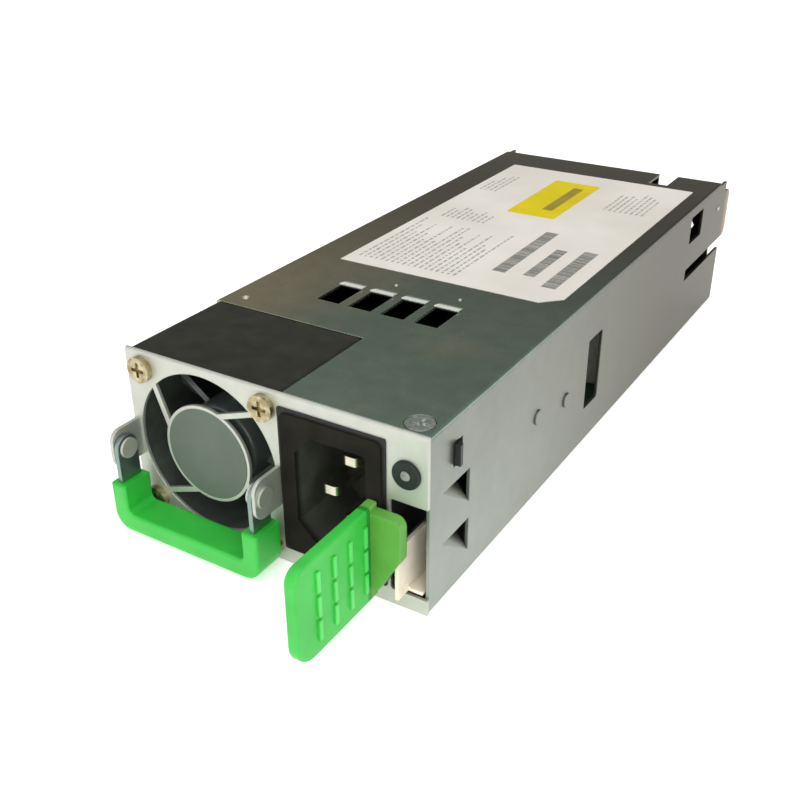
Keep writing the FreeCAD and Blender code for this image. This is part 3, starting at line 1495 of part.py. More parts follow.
def build():
    base_tray()
    top_cover()
    front_panel()
    rear_panel()
    cover_screw()
    fan_frame()
    motor_mount()
    fan_rotor()
    fan_shaft()
    fan_bearings()
    fan_stator()
    fan_screws()
    inlet_housing()
    inlet_pins()
    light_bezel()
    light_pipe()
    status_light()
    latch_root()
    latch_rivets()
    latch_spring()
    release_lever()
    handle_grip(handle_bail())
    handle_rivets()
    main_board()
    edge_contacts()
    insulator_film()
    board_posts()
    board_screws()
    toroid("line_choke", board_half - s.choke_inset, s.board_start + s.choke_back,
           s.choke_radius, s.choke_core, s.choke_tall)
    toroid("boost_choke", s.boost_inset - board_half, s.board_start + s.boost_back,
           s.boost_radius, s.boost_core, s.boost_tall)
    bulk_capacitor()
    heat_sink()
    power_transistors()
    main_transformer()
    output_capacitors()
    block("relay", s.relay_x, s.relay_back, s.relay_width, s.relay_depth, s.relay_height)
    block("line_capacitor", board_half - s.filter_inset, s.filter_back,
          s.filter_width, s.filter_depth, s.filter_height)
    block("bridge_rectifier", s.bridge_x, s.bridge_back, s.bridge_width, s.bridge_depth, s.bridge_height)
    block("standby_transformer", board_half - s.standby_inset, s.standby_back,
          s.standby_width, s.standby_depth, s.standby_height)
    block("fan_socket", socket_x, s.socket_back, s.socket_width, s.socket_depth, s.socket_height)
    control_board()
    fan_lead()
    inlet_wires()
    lamp_leads()


def check():
    """Stop at anything that failed to build, and at any cut that removed nothing."""
    for thing in doc.Objects:
        if {"Invalid", "Error"} & set(thing.State):
            raise RuntimeError(f"{thing.Name} failed: {thing.getStatusString()}")
        if thing.TypeId in ("PartDesign::Pocket", "PartDesign::Groove"):
            before = thing.BaseFeature.Shape.Volume
            if thing.Shape.Volume > before - 0.01:
                raise RuntimeError(f"{thing.Name} cut nothing")


def export():
    os.makedirs("parts", exist_ok=True)
    for thing in nodes:
        shape = thing.Shape
        if shape.isNull() or not shape.isValid():
            raise RuntimeError(f"{thing.Label} has no valid shape")
        shape.exportStep(f"parts/{thing.Label}.step")
        print(f"{thing.Label}: {len(shape.Solids)} solids, {shape.Volume:.0f} mm3")


build()
doc.recompute()
check()
export()
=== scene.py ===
# %% [markdown]
# # A hot swap server power supply
# The object is a slide-in power module: a box folded from zinc-coated sheet steel, with a fan and a mains
# inlet in its bright front panel, a green bail handle, a green release lever and a printed label on its
# roof. The construction model brings every solid at its real size. This script dresses it: it gives each
# solid the finish of its real material, and adds the thin things that no construction model needs, such as
# the label and its print. All lengths here are metres, and millimetres are turned into metres where they
# are written.

# %% Load the construction model
import bpy
import json
import math
import numpy as np
from mathutils import Matrix, Vector


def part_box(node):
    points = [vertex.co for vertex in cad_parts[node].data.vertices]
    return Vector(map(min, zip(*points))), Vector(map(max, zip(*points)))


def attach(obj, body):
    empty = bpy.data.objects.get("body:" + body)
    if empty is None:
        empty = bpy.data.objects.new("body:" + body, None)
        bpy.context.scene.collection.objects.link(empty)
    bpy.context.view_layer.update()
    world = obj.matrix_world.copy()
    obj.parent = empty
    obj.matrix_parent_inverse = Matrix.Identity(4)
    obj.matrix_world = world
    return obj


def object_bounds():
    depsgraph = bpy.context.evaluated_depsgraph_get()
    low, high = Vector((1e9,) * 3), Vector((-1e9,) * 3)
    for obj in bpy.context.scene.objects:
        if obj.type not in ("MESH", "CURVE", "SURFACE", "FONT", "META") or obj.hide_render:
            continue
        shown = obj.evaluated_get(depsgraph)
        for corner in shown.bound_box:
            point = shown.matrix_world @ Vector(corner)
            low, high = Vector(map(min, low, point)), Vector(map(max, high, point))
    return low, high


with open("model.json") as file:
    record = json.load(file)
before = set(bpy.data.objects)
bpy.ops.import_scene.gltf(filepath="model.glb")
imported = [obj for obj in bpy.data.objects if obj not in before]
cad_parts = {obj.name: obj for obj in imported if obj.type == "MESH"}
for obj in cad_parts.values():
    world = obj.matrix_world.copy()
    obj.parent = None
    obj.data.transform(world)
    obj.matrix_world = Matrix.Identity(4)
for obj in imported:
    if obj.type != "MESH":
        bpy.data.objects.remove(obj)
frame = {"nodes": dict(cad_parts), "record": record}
cad_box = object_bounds()
nodes = frame["nodes"]
MM = 0.001
print("nodes", len(nodes), "box", [[round(v / MM, 1) for v in corner] for corner in cad_box])

# %% [markdown]
# ## The camera
# The photograph was taken from the front right, a little above the module. Eight corners of the case were
# matched to it, which gives the direction, the distance and the focal length below. A camera in Blender
# looks along its own minus Z, so its matrix is built from three axes: right, up and back.

# %% Camera
VIEW_TURN = math.radians(31.705)
VIEW_RISE = math.radians(28.577)
VIEW_ROLL = math.radians(-0.289)
CAMERA_PLACE = Vector((113.43, -133.66, 131.83)) * MM
FOCAL_PIXELS = 1020.06
FRAME_PIXELS = 800
SENSOR_MM = 36.0


def camera_axes(turn, rise, roll):
    """Back points from the object to the camera; right is level, and both turn about it by the roll."""
    back = Vector((math.sin(turn) * math.cos(rise), -math.cos(turn) * math.cos(rise), math.sin(rise)))
    level = Vector((math.cos(turn), math.sin(turn), 0))
    upright = back.cross(level)
    right = level * math.cos(roll) + upright * math.sin(roll)
    up = upright * math.cos(roll) - level * math.sin(roll)
    return right, up, back


camera_data = bpy.data.cameras.new("photo_camera")
camera_data.sensor_width = SENSOR_MM
camera_data.sensor_fit = "HORIZONTAL"
camera_data.lens = SENSOR_MM * FOCAL_PIXELS / FRAME_PIXELS
camera_data.clip_start = 0.005
camera = bpy.data.objects.new("photo_camera", camera_data)
bpy.context.scene.collection.objects.link(camera)
axes = Matrix(camera_axes(VIEW_TURN, VIEW_RISE, VIEW_ROLL)).transposed().to_4x4()
camera.matrix_world = Matrix.Translation(CAMERA_PLACE) @ axes
bpy.context.scene.camera = camera
print("lens", round(camera_data.lens, 2), "mm")

# %% [markdown]
# ## How the node trees are made
# Every finish is a node tree round one principled shader. Constant values sit on the shader's own sockets,
# and only what varies over the surface is computed. Small helpers do the wiring: one adds any node with its
# settings and links, and the others name what a pattern does to the surface. Patterns read Object
# coordinates, which are metres here, so a scale of 1 / (3 mm) gives grains of about three millimetres.

# %% Helpers for node trees
TWO_TONE_SPAN = (0.3, 0.7)


def linear(code):
    """The linear colour of an sRGB hex code: the standard curve with its straight foot."""
    parts = np.array([int(code[i:i + 2], 16) for i in (0, 2, 4)]) / 255
    values = np.where(parts <= 0.04045, parts / 12.92, ((parts + 0.055) / 1.055) ** 2.4)
    return (*values.tolist(), 1.0)


def add(tree, kind, settings=None, links=None):
    """Adds a node: settings name its properties or inputs, and links give sockets to join to inputs."""
    item = tree.nodes.new(kind)
    for name, value in (settings or {}).items():
        if isinstance(name, str) and hasattr(item, name):
            setattr(item, name, value)
        else:
            item.inputs[name].default_value = value
    for name, socket in (links or {}).items():
        tree.links.new(socket, item.inputs[name])
    return item


def set_constants(shader, constants):
    """Puts plain values on a shader's sockets; their names have underscores where the sockets have spaces."""
    for name, value in constants.items():
        shader.inputs[name.replace("_", " ")].default_value = value


def start_finish(name, **constants):
    """A material with one principled shader, and the Object coordinates that its patterns read."""
    material = bpy.data.materials.new(name)
    material.use_nodes = True
    tree = material.node_tree
    shader = tree.nodes["Principled BSDF"]
    set_constants(shader, constants)
    place = add(tree, "ShaderNodeTexCoord").outputs["Object"]
    return material, tree, shader, place


def noise(tree, place, size_mm, detail=2.0, roughness=0.5, stretch=(1, 1, 1)):
    """Smooth noise whose lumps are about size_mm across, stretched along an axis where that is below 1."""
    mapping = add(tree, "ShaderNodeMapping", {"Scale": [v / (size_mm * MM) for v in stretch]},
                  {"Vector": place})
    item = add(tree, "ShaderNodeTexNoise", {"Scale": 1.0, "Detail": detail, "Roughness": roughness},
               {"Vector": mapping.outputs["Vector"]})
    return item.outputs["Fac"]


def two_tones(tree, pattern, pair, span=TWO_TONE_SPAN):
    """Turns a pattern into colour: the first hex code below the span, the second above it, a blend within."""
    item = add(tree, "ShaderNodeValToRGB", links={"Fac": pattern})
    for element, position, code in zip(item.color_ramp.elements, span, pair):
        element.position, element.color = position, linear(code)
    return item.outputs["Color"]


def between(tree, factor, low, high):
    """Maps a 0 to 1 factor to a range of plain values."""
    item = add(tree, "ShaderNodeMapRange", {"To Min": low, "To Max": high}, {"Value": factor})
    return item.outputs["Result"]


def along(tree, place, axis, start_mm, end_mm):
    """0 before one place on an axis and 1 after another, with a smooth turn between them."""
    parts = add(tree, "ShaderNodeSeparateXYZ", links={"Vector": place})
    item = add(tree, "ShaderNodeMapRange", {"interpolation_type": "SMOOTHSTEP", "From Min": start_mm * MM,
                                            "From Max": end_mm * MM}, {"Value": parts.outputs[axis]})
    return item.outputs["Result"]


def mix_colours(tree, factor, first, second):
    """The first colour where the factor is 0, the second where it is 1; 6 and 7 are the colour sockets."""
    item = add(tree, "ShaderNodeMix", {"data_type": "RGBA"}, {"Factor": factor, 6: first, 7: second})
    return item.outputs[2]


def bump(tree, shader, height, depth_mm, soft_edge_mm=0.0):
    """Raises the surface by a height pattern; a soft edge rounds the corners that light catches."""
    item = add(tree, "ShaderNodeBump", {"Distance": depth_mm * MM, "Strength": 1.0}, {"Height": height})
    if soft_edge_mm:
        edge = add(tree, "ShaderNodeBevel", {"samples": 6, "Radius": soft_edge_mm * MM})
        tree.links.new(edge.outputs["Normal"], item.inputs["Normal"])
    tree.links.new(item.outputs["Normal"], shader.inputs["Normal"])


def feed(tree, shader, **sockets):
    """Joins computed sockets to the shader's inputs, named as in set_constants."""
    for name, socket in sockets.items():
        tree.links.new(socket, shader.inputs[name.replace("_", " ")])


print("two tones blend between", TWO_TONE_SPAN)

# %% [markdown]
# ## Floor, sky and lamps
# The photograph has a plain white ground. Sheet metal shows what it mirrors, so the surroundings matter
# more than the lamps: the upright sides mirror the white floor, and the roof mirrors the room behind the
# object. The floor is a light table: it glows a little, so it stays white while the lamps are kept low
# enough for the label and the plastics.

# %% Floor
FLOOR_HALF = 6.0
FLOOR_WHITE = (0.86, 0.86, 0.85, 1)
FLOOR_GLOW = 0.46
FLOOR_ROUGH = 0.9


def plain_sheet(name, half, level):
    """A square sheet: its four corners lie at plus and minus half on both axes, at one level."""
    mesh = bpy.data.meshes.new(name)
    corners = [(-half, -half, level), (half, -half, level), (half, half, level), (-half, half, level)]
    mesh.from_pydata(corners, [], [(0, 1, 2, 3)])
    thing = bpy.data.objects.new(name, mesh)
    bpy.context.scene.collection.objects.link(thing)
    return thing


floor_paper = bpy.data.materials.new("white_paper_floor")
floor_paper.use_nodes = True
set_constants(floor_paper.node_tree.nodes["Principled BSDF"],
              {"Base_Color": FLOOR_WHITE, "Roughness": FLOOR_ROUGH, "Emission_Color": (1, 1, 1, 1),
               "Emission_Strength": FLOOR_GLOW})
floor = plain_sheet("studio_floor", FLOOR_HALF, cad_box[0][2])
floor.data.materials.append(floor_paper)
print("floor at", round(cad_box[0][2] / MM, 2), "mm")

# %% [markdown]
# The room is painted on the sky by height: pale at the horizon, like the floor, and a calmer grey above,
# which is what the roof mirrors. A mild warm shade on the far left carries the warmth of the room's far
# end.

# %% Sky
FAR_LEFT = (-0.525, 0.851, 0.0)
SKY_BY_HEIGHT = [(0.5, (0.86, 0.86, 0.85, 1)), (0.58, (0.7, 0.7, 0.69, 1)), (0.64, (0.4, 0.41, 0.4, 1)),
                 (1.0, (0.42, 0.43, 0.43, 1))]
FAR_SHADE = (0.68, 0.66, 0.6, 1)
SHADE_FROM, SHADE_FULL = 0.5, 0.95

world = bpy.data.worlds.new("studio")
world.use_nodes = True
sky = world.node_tree
way = add(sky, "ShaderNodeTexCoord").outputs["Generated"]
height = add(sky, "ShaderNodeSeparateXYZ", links={"Vector": way}).outputs["Z"]
above = add(sky, "ShaderNodeMapRange", {"From Min": -1.0}, {"Value": height}).outputs["Result"]
levels = add(sky, "ShaderNodeValToRGB", links={"Fac": above})
levels.color_ramp.elements[0].position, levels.color_ramp.elements[0].color = SKY_BY_HEIGHT[0]
levels.color_ramp.elements[1].position, levels.color_ramp.elements[1].color = SKY_BY_HEIGHT[-1]
for position, colour in SKY_BY_HEIGHT[1:-1]:
    levels.color_ramp.elements.new(position).color = colour
towards = add(sky, "ShaderNodeVectorMath", {"operation": "DOT_PRODUCT", 1: FAR_LEFT}, {0: way})
share = add(sky, "ShaderNodeMapRange", {"interpolation_type": "SMOOTHSTEP", "From Min": SHADE_FROM,
                                        "From Max": SHADE_FULL}, {"Value": towards.outputs["Value"]})
room = add(sky, "ShaderNodeMix", {"data_type": "RGBA", "blend_type": "MULTIPLY", 7: FAR_SHADE},
           {"Factor": share.outputs["Result"], 6: levels.outputs["Color"]})
sky.links.new(room.outputs[2], sky.nodes["Background"].inputs["Color"])
bpy.context.scene.world = world
bpy.context.scene.view_settings.view_transform = "Standard"
print("sky nodes", len(sky.nodes))

# %% [markdown]
# Four large soft lamps light the module. The overhead one lights the floor without a hard shadow, the two
# in front reach into the inlet and the latch opening, and the key lamp brightens the right wall and the
# lever. Large lamps of low radiance are chosen on purpose, because metal mirrors a small bright lamp as
# glare.

# %% Lamps
MIDDLE = (0.0, 0.09, 0.02)
LATCH_MOUTH = (0.034, 0.0, 0.012)
WALL_FRONT = (0.02, 0.08, 0.04)
LAMPS = [("overhead", (0.0, 0.1, 1.6), MIDDLE, 2.2, 12),
         ("front_left", (-0.6, -1.1, 0.6), MIDDLE, 1.2, 3.5),
         ("front_right", (0.85, -1.2, 0.9), LATCH_MOUTH, 2.3, 13.5),
         ("key", (0.5, -0.42, 0.68), WALL_FRONT, 1.3, 4.0)]


def add_lamp(name, place, aim, size, power):
    """A square area lamp at a place, turned to shine at an aim."""
    data = bpy.data.lights.new(name, "AREA")
    data.size = size
    data.energy = power
    lamp = bpy.data.objects.new(name, data)
    lamp.location = place
    lamp.rotation_euler = (Vector(aim) - Vector(place)).to_track_quat("-Z", "Y").to_euler()
    bpy.context.scene.collection.objects.link(lamp)


for lamp_row in LAMPS:
    add_lamp(*lamp_row)
print("lamps", len(LAMPS))

# %% [markdown]
# ## Zinc-coated sheet steel
# The case is folded from electro-galvanised sheet, which is smooth and satin. Rolling leaves faint lines
# along its length, the plating is a little cloudy, and hands leave slow stains. A metal's colour is what it
# reflects, so the shader is metallic: clouds and stains vary its colour and roughness by a little, and the
# rolling lines are a shallow bump, drawn coarser than real ones so that they show. Along the depth a
# second, browner and darker pair of colours takes over towards the rear: this is painted shade, and a
# little of the same painted shade darkens the walls towards the roof. The very end of the walls turns
# tan. Whatever stands up over the roof, such as the edges of the flaps, is painted near white and made
# less metallic: a painted highlight.
#
# The cover is a darker passivated sheet than the tray. Passivation is a thin film, which turns yellower
# where it is thicker, so warm patches cross it, and the sheet also turns lighter and warmer towards its
# left side. The front panel is a brighter grade with a duller surface, and the bail's strip is nickel
# plated: neither of them takes the painted shade at the rear.

# %% Sheet finishes
ROLLING_MM, ROLLING_STRETCH, ROLLING_DEPTH_MM = 0.5, (1, 0.03, 1), 0.003
CLOUD_MM, HANDLING_MM, STAIN_SHARE = 5.0, 38.0, 0.5
FOLD_MM = 0.3
# Painted shade: between these two depths the sheet turns darker and browner towards the rear.
REAR_SHADE_FROM_MM, REAR_SHADE_FULL_MM = -10.0, 150.0
TINT_MM, TINT_SHARE = 30.0, (-1.45, 1.3)
LEFT_TONE_FROM_MM, LEFT_TONE_FULL_MM = 5.0, -34.0
END_TAN_FROM_MM, END_TAN_FULL_MM, END_TAN = 184.5, 189.5, ("8a7152", "a3896a")
ROOF_MM = 40.0
# Painted highlight: whatever stands above the roof is painted near white and made less metallic.
HIGHLIGHT_FROM_MM, HIGHLIGHT_FULL_MM = ROOF_MM + 0.05, ROOF_MM + 0.35
EDGE_HIGHLIGHT, HIGHLIGHT_METAL = ("d5d7cf", "e6e8e0"), 0.2


def sheet_finish(name, clean, rear_shade, smooth, rough, tint=None, top_shade=None, metal=0.95):
    """Cloudy plating over slow stains, painted shade and a painted highlight, and rolling lines as a bump."""
    material, tree, shader, place = start_finish(name)
    blend = add(tree, "ShaderNodeMix", {"data_type": "FLOAT", "Factor": STAIN_SHARE},
                {2: noise(tree, place, CLOUD_MM, detail=5, roughness=0.6),
                 3: noise(tree, place, HANDLING_MM, detail=3)})
    mixed = blend.outputs[0]
    colour, shaded_colour = (two_tones(tree, mixed, pair) for pair in (clean, rear_shade))
    if tint:
        warm = between(tree, noise(tree, place, TINT_MM, detail=4, roughness=0.6), *TINT_SHARE)
        warm_tone = two_tones(tree, mixed, tint)
        colour = mix_colours(tree, along(tree, place, "X", LEFT_TONE_FROM_MM, LEFT_TONE_FULL_MM), colour, warm_tone)
        colour = mix_colours(tree, warm, colour, warm_tone)
    # Painted shade: the walls darken towards the roof.
    if top_shade:
        height = along(tree, place, "Z", 0.0, ROOF_MM)
        colour = mix_colours(tree, between(tree, height, 0.0, top_shade), colour, shaded_colour)
    # Painted shade: darker and browner towards the rear.
    colour = mix_colours(tree, along(tree, place, "Y", REAR_SHADE_FROM_MM, REAR_SHADE_FULL_MM), colour, shaded_colour)
    colour = mix_colours(tree, along(tree, place, "Y", END_TAN_FROM_MM, END_TAN_FULL_MM), colour,
                         two_tones(tree, mixed, END_TAN))
    # Painted highlight on whatever stands up over the roof, such as the edges of the flaps.
    raised = along(tree, place, "Z", HIGHLIGHT_FROM_MM, HIGHLIGHT_FULL_MM)
    colour = mix_colours(tree, raised, colour, two_tones(tree, mixed, EDGE_HIGHLIGHT))
    feed(tree, shader, Base_Color=colour, Roughness=between(tree, mixed, smooth, rough),
         Metallic=between(tree, raised, metal, HIGHLIGHT_METAL))
    lines = noise(tree, place, ROLLING_MM, detail=1, stretch=ROLLING_STRETCH)
    bump(tree, shader, lines, ROLLING_DEPTH_MM, FOLD_MM)
    return material


# The second pair of colours is the painted shade at the rear; the last share paints shade towards the roof.
case_steel = sheet_finish("electrogalvanised_sheet_steel", ("949a93", "a6aba3"), ("454031", "554f40"),
                          0.30, 0.42, top_shade=0.32)
cover_steel = sheet_finish("passivated_cover_sheet", ("7a8f84", "8fa398"), ("302a1a", "433c2b"),
                           0.22, 0.32, tint=("a8a085", "bdb497"))
PANEL_ZINC, BAIL_NICKEL = ("b6b8ad", "cccdc3"), ("798d85", "98aaa2")
panel_steel = sheet_finish("bright_zinc_sheet_steel", PANEL_ZINC, PANEL_ZINC, 0.42, 0.54, metal=0.7)
bail_steel = sheet_finish("nickel_plated_bail_strip", BAIL_NICKEL, BAIL_NICKEL, 0.24, 0.36, metal=0.9)
print("sheet finishes", case_steel.name, cover_steel.name, panel_steel.name, bail_steel.name)

# %% [markdown]
# The latch spring looks cream and much duller than the case. It is a spring strip with a baked lacquer, so
# the shader is only partly metallic: the lacquer scatters the light that falls in through the latch
# opening, which is why it shows bright there although it faces the dark inside of the wall. Behind the
# panel the strip is painted a dark blue-grey: painted shade where it lies in shade, dark in the tooth's
# window.

# %% Latch spring
SPRING_SHADE_FROM_MM, SPRING_SHADE_FULL_MM = 6.5, 8.5
LACQUER_MM, GRIND_MM, GRIND_STRETCH = 3.0, 0.4, (1, 0.1, 1)
spring_steel, tree, shader, place = start_finish("lacquered_spring_strip", Metallic=0.2, IOR=1.5)
drift = noise(tree, place, LACQUER_MM, detail=3)
# Painted shade: behind the panel the strip turns dark.
lacquer, shaded_rear = two_tones(tree, drift, ("f0e4cf", "faf0de")), two_tones(tree, drift, ("1b1f1e", "2c312f"))
feed(tree, shader, Roughness=between(tree, drift, 0.38, 0.5),
     Base_Color=mix_colours(tree, along(tree, place, "Y", SPRING_SHADE_FROM_MM, SPRING_SHADE_FULL_MM), lacquer, shaded_rear))
bump(tree, shader, noise(tree, place, GRIND_MM, detail=1, stretch=GRIND_STRETCH), 0.004, 0.15)
print("spring", spring_steel.name)

# %% [markdown]
# ## Moulded plastics
# The grip is a green thermoplastic, injection moulded and then handled: its face has a fine spark-eroded
# texture, and it lets a little light in, which keeps its shaded side bright. The fan's blades are a smooth
# slate grey, and the ring round the light is a green black. The spark-eroded grain is a little coarser here
# than the real one, because a finer one would not show.

# %% Plastic finishes
MOULD_GRAIN_MM = 0.35
PLASTIC_IOR = 1.53
GREEN = ("27ad35", "34bc41")
GREEN_CONSTANTS = {"Subsurface_Weight": 0.15, "Subsurface_Scale": 0.002, "Subsurface_Radius": (0.4, 1.0, 0.3)}


def plastic_finish(name, pair, smooth, rough, grain_depth_mm, edge_mm, **constants):
    """Slow colour drift, a fine mould texture as a bump, and softened edges."""
    material, tree, shader, place = start_finish(name, IOR=PLASTIC_IOR, **constants)
    drift = noise(tree, place, 9.0, detail=3)
    grain = noise(tree, place, MOULD_GRAIN_MM, detail=1)
    feed(tree, shader, Base_Color=two_tones(tree, drift, pair), Roughness=between(tree, drift, smooth, rough))
    bump(tree, shader, grain, grain_depth_mm, edge_mm)
    return material


green_plastic = plastic_finish("green_moulded_abs", GREEN, 0.34, 0.46, 0.006, 0.35, **GREEN_CONSTANTS)
black_plastic = plastic_finish("black_glass_filled_polyester", ("0f1314", "1c2223"), 0.40, 0.56, 0.008, 0.15)
ring_plastic = plastic_finish("green_black_lamp_ring", ("0d1411", "182420"), 0.40, 0.55, 0.006, 0.1,
                              Specular_IOR_Level=0.3)
blade_plastic = plastic_finish("slate_blade_moulding", ("454b48", "5a615d"), 0.2, 0.32, 0.004, 0.15)
print("plastic finishes", green_plastic.name, black_plastic.name, ring_plastic.name, blade_plastic.name)

# %% [markdown]
# Three mouldings change from place to place. The fan's frame is a cloudy brownish black outside, and
# inside its duct the same moulding is painted a lighter slate: painted light where the duct and the blades
# catch light. Distance from the fan's axis tells them apart: the pattern's place is moved to the axis, its
# depth is flattened to nothing, and the length of what is left is the radius.

# %% Fan frame finish
FAN_X, FAN_Z = -16.45, 20.0
DUCT_MM, FRAME_MM = 18.7, 19.1
fan_plastic, tree, shader, place = start_finish("cloudy_black_fan_moulding", IOR=PLASTIC_IOR,
                                                Specular_IOR_Level=0.3)
clouds = noise(tree, place, 5.0, detail=3)
flat = add(tree, "ShaderNodeMapping", {"Location": (-FAN_X * MM, 0, -FAN_Z * MM), "Scale": (1, 0, 1)},
           {"Vector": place})
radius = add(tree, "ShaderNodeVectorMath", {"operation": "LENGTH"}, {0: flat.outputs["Vector"]})
outside = add(tree, "ShaderNodeMapRange", {"From Min": DUCT_MM * MM, "From Max": FRAME_MM * MM},
              {"Value": radius.outputs["Value"]})
# Inside the duct the moulding is painted a lighter slate: painted light.
feed(tree, shader, Roughness=between(tree, clouds, 0.3, 0.65),
     Base_Color=mix_colours(tree, outside.outputs["Result"], two_tones(tree, clouds, ("373c38", "4c524c")),
                            two_tones(tree, clouds, ("070703", "24241a"))))
bump(tree, shader, noise(tree, place, MOULD_GRAIN_MM, detail=1), 0.008, 0.15)
print("fan frame", fan_plastic.name)

# %% [markdown]
# The inlet's cavity is greyer than the flange, so its colour turns just behind the flange. The lever's
# plate has paler ribs: a painted highlight on their tops. A dark green band where the plate ends is painted
# shade in the corner before the root, and the root behind it is darker and yellower: painted shade on its
# set-back face, with the cream spring's light through the thin root painted in.

# %% Inlet and lever finishes
CAVITY_FROM_MM, CAVITY_FULL_MM = -0.6, 1.5
inlet_plastic, tree, shader, place = start_finish("matt_black_inlet_moulding", IOR=PLASTIC_IOR,
                                                  Specular_IOR_Level=0.06)
drift = noise(tree, place, 7.0, detail=3)
flange, cavity = two_tones(tree, drift, ("191813", "26241d")), two_tones(tree, drift, ("3f403a", "53544d"))
feed(tree, shader, Roughness=between(tree, drift, 0.6, 0.75),
     Base_Color=mix_colours(tree, along(tree, place, "Y", CAVITY_FROM_MM, CAVITY_FULL_MM), flange, cavity))
bump(tree, shader, noise(tree, place, MOULD_GRAIN_MM, detail=1), 0.010, 0.2)

RIB_HIGHLIGHT_FROM_MM, RIB_HIGHLIGHT_FULL_MM = 27.1, 27.35
CORNER_SHADE_FROM_MM, CORNER_SHADE_FULL_MM = -5.7, -5.6
ROOT_SHADE_FROM_MM, ROOT_SHADE_FULL_MM = -4.5, -4.45
# Painted highlight on the ribs, painted shade in the corner, and painted shade with spring light on the root.
LEVER_ZONES = [("X", RIB_HIGHLIGHT_FROM_MM, RIB_HIGHLIGHT_FULL_MM, ("48c956", "58d565")),
               ("Y", CORNER_SHADE_FROM_MM, CORNER_SHADE_FULL_MM, ("187a20", "1f8a28")),
               ("Y", ROOT_SHADE_FROM_MM, ROOT_SHADE_FULL_MM, ("569a3a", "66a946"))]
lever_plastic, tree, shader, place = start_finish("green_lever_moulding", IOR=PLASTIC_IOR, **GREEN_CONSTANTS)
drift = noise(tree, place, 9.0, detail=3)
colour = two_tones(tree, drift, GREEN)
for axis, start, end, pair in LEVER_ZONES:
    colour = mix_colours(tree, along(tree, place, axis, start, end), colour, two_tones(tree, drift, pair))
feed(tree, shader, Base_Color=colour, Roughness=between(tree, drift, 0.34, 0.46))
bump(tree, shader, noise(tree, place, MOULD_GRAIN_MM, detail=1), 0.006, 0.25)
print("changing finishes", inlet_plastic.name, lever_plastic.name)

# %% [markdown]
# ## Small metals
# The fan's screws are zinc with a yellow chromate passivation, which shifts between straw and a greenish
# bronze, and the cover's screw has the blue one. The inlet's pins are nickel-plated brass, polished and
# slightly warm. The card edge's contacts are gold, the heat sink is extruded aluminium, and the coils are
# enamelled copper. All are bare metals whose tint and roughness drift over patches of a millimetre or more.

# %% Small metal finishes
SCRATCH_MM, SCRATCH_STRETCH = 0.12, (1, 0.1, 1)
METAL_SPAN = (0.35, 0.65)


def metal_finish(name, pair, smooth, rough, patch_mm):
    """A bare metal: patches vary its colour and roughness, and fine scratches are a shallow bump."""
    material, tree, shader, place = start_finish(name, Metallic=1.0)
    patches = noise(tree, place, patch_mm, detail=3)
    scratches = noise(tree, place, SCRATCH_MM, detail=1, stretch=SCRATCH_STRETCH)
    feed(tree, shader, Base_Color=two_tones(tree, patches, pair, METAL_SPAN),
         Roughness=between(tree, patches, smooth, rough))
    bump(tree, shader, scratches, 0.002, 0.08)
    return material


yellow_zinc = metal_finish("yellow_passivated_zinc", ("8f8161", "cabf9c"), 0.28, 0.42, 1.6)
nickel = metal_finish("nickel_plated_brass", ("c9c2ae", "ded9ca"), 0.16, 0.26, 2.5)
gold = metal_finish("gold_plated_contact", ("d9ae55", "efc977"), 0.14, 0.22, 2.0)
aluminium = metal_finish("extruded_aluminium", ("c4c7c9", "dcdfe0"), 0.26, 0.4, 4.0)
screw_zinc = metal_finish("blue_passivated_zinc", ("aab3b0", "cbd2cf"), 0.2, 0.32, 1.2)
copper = metal_finish("enamelled_copper_wire", ("9a4f28", "c0703c"), 0.2, 0.32, 1.0)
print("small metals", [metal.name for metal in (yellow_zinc, nickel, gold, aluminium, screw_zinc, copper)])

# %% [markdown]
# ## The finishes of what lies inside
# The slots and vents let the eye in, so the board and its parts have real finishes too: green solder mask
# over woven glass, dark sintered ferrite, shrink sleeve, polyester tape and wire insulation. One noise
# drives colour, roughness and height together, so a paler spot is also a slightly rougher and higher one.

# %% Inner finishes
def coated_finish(name, pair, smooth, rough, patch_mm, depth_mm, **constants):
    """A non-metal whose colour, roughness and height follow one noise."""
    material, tree, shader, place = start_finish(name, IOR=1.5, **constants)
    patches = noise(tree, place, patch_mm, detail=3)
    feed(tree, shader, Base_Color=two_tones(tree, patches, pair),
         Roughness=between(tree, patches, smooth, rough))
    bump(tree, shader, patches, depth_mm)
    return material


solder_mask = coated_finish("green_solder_mask", ("12401f", "1c5a2c"), 0.25, 0.4, 1.2, 0.01)
ferrite = coated_finish("sintered_ferrite", ("1d1d20", "2c2c30"), 0.5, 0.7, 0.5, 0.02)
shrink_sleeve = coated_finish("shrink_sleeve", ("131c33", "1f2b49"), 0.25, 0.35, 5.0, 0.01)
tape = coated_finish("grey_polyester_tape", ("c4c5ba", "dadbd0"), 0.3, 0.42, 3.0, 0.02)
film = coated_finish("insulating_film", ("c9cabd", "dcdcd0"), 0.3, 0.42, 6.0, 0.01)
wire_cover = coated_finish("wire_insulation", ("141414", "232323"), 0.4, 0.5, 2.0, 0.01)
lens = coated_finish("clear_polycarbonate", ("aebfae", "c9d6c6"), 0.08, 0.14, 2.0, 0.002)
lamp_lens = coated_finish("unlit_lamp_lens", ("6f736f", "8b908b"), 0.15, 0.25, 1.0, 0.002)
grey_resin = coated_finish("grey_resin_case", ("6f706c", "84857f"), 0.4, 0.5, 1.5, 0.01)
print("inner finishes", solder_mask.name, ferrite.name, tape.name, film.name, lens.name, grey_resin.name)

# %% [markdown]
# ## Dressing the solids
# Every solid keeps its shape and takes a finish by the material slot that the record gives it. Ten solids
# have a finish of their own, because their slot is shared with pieces that look different.

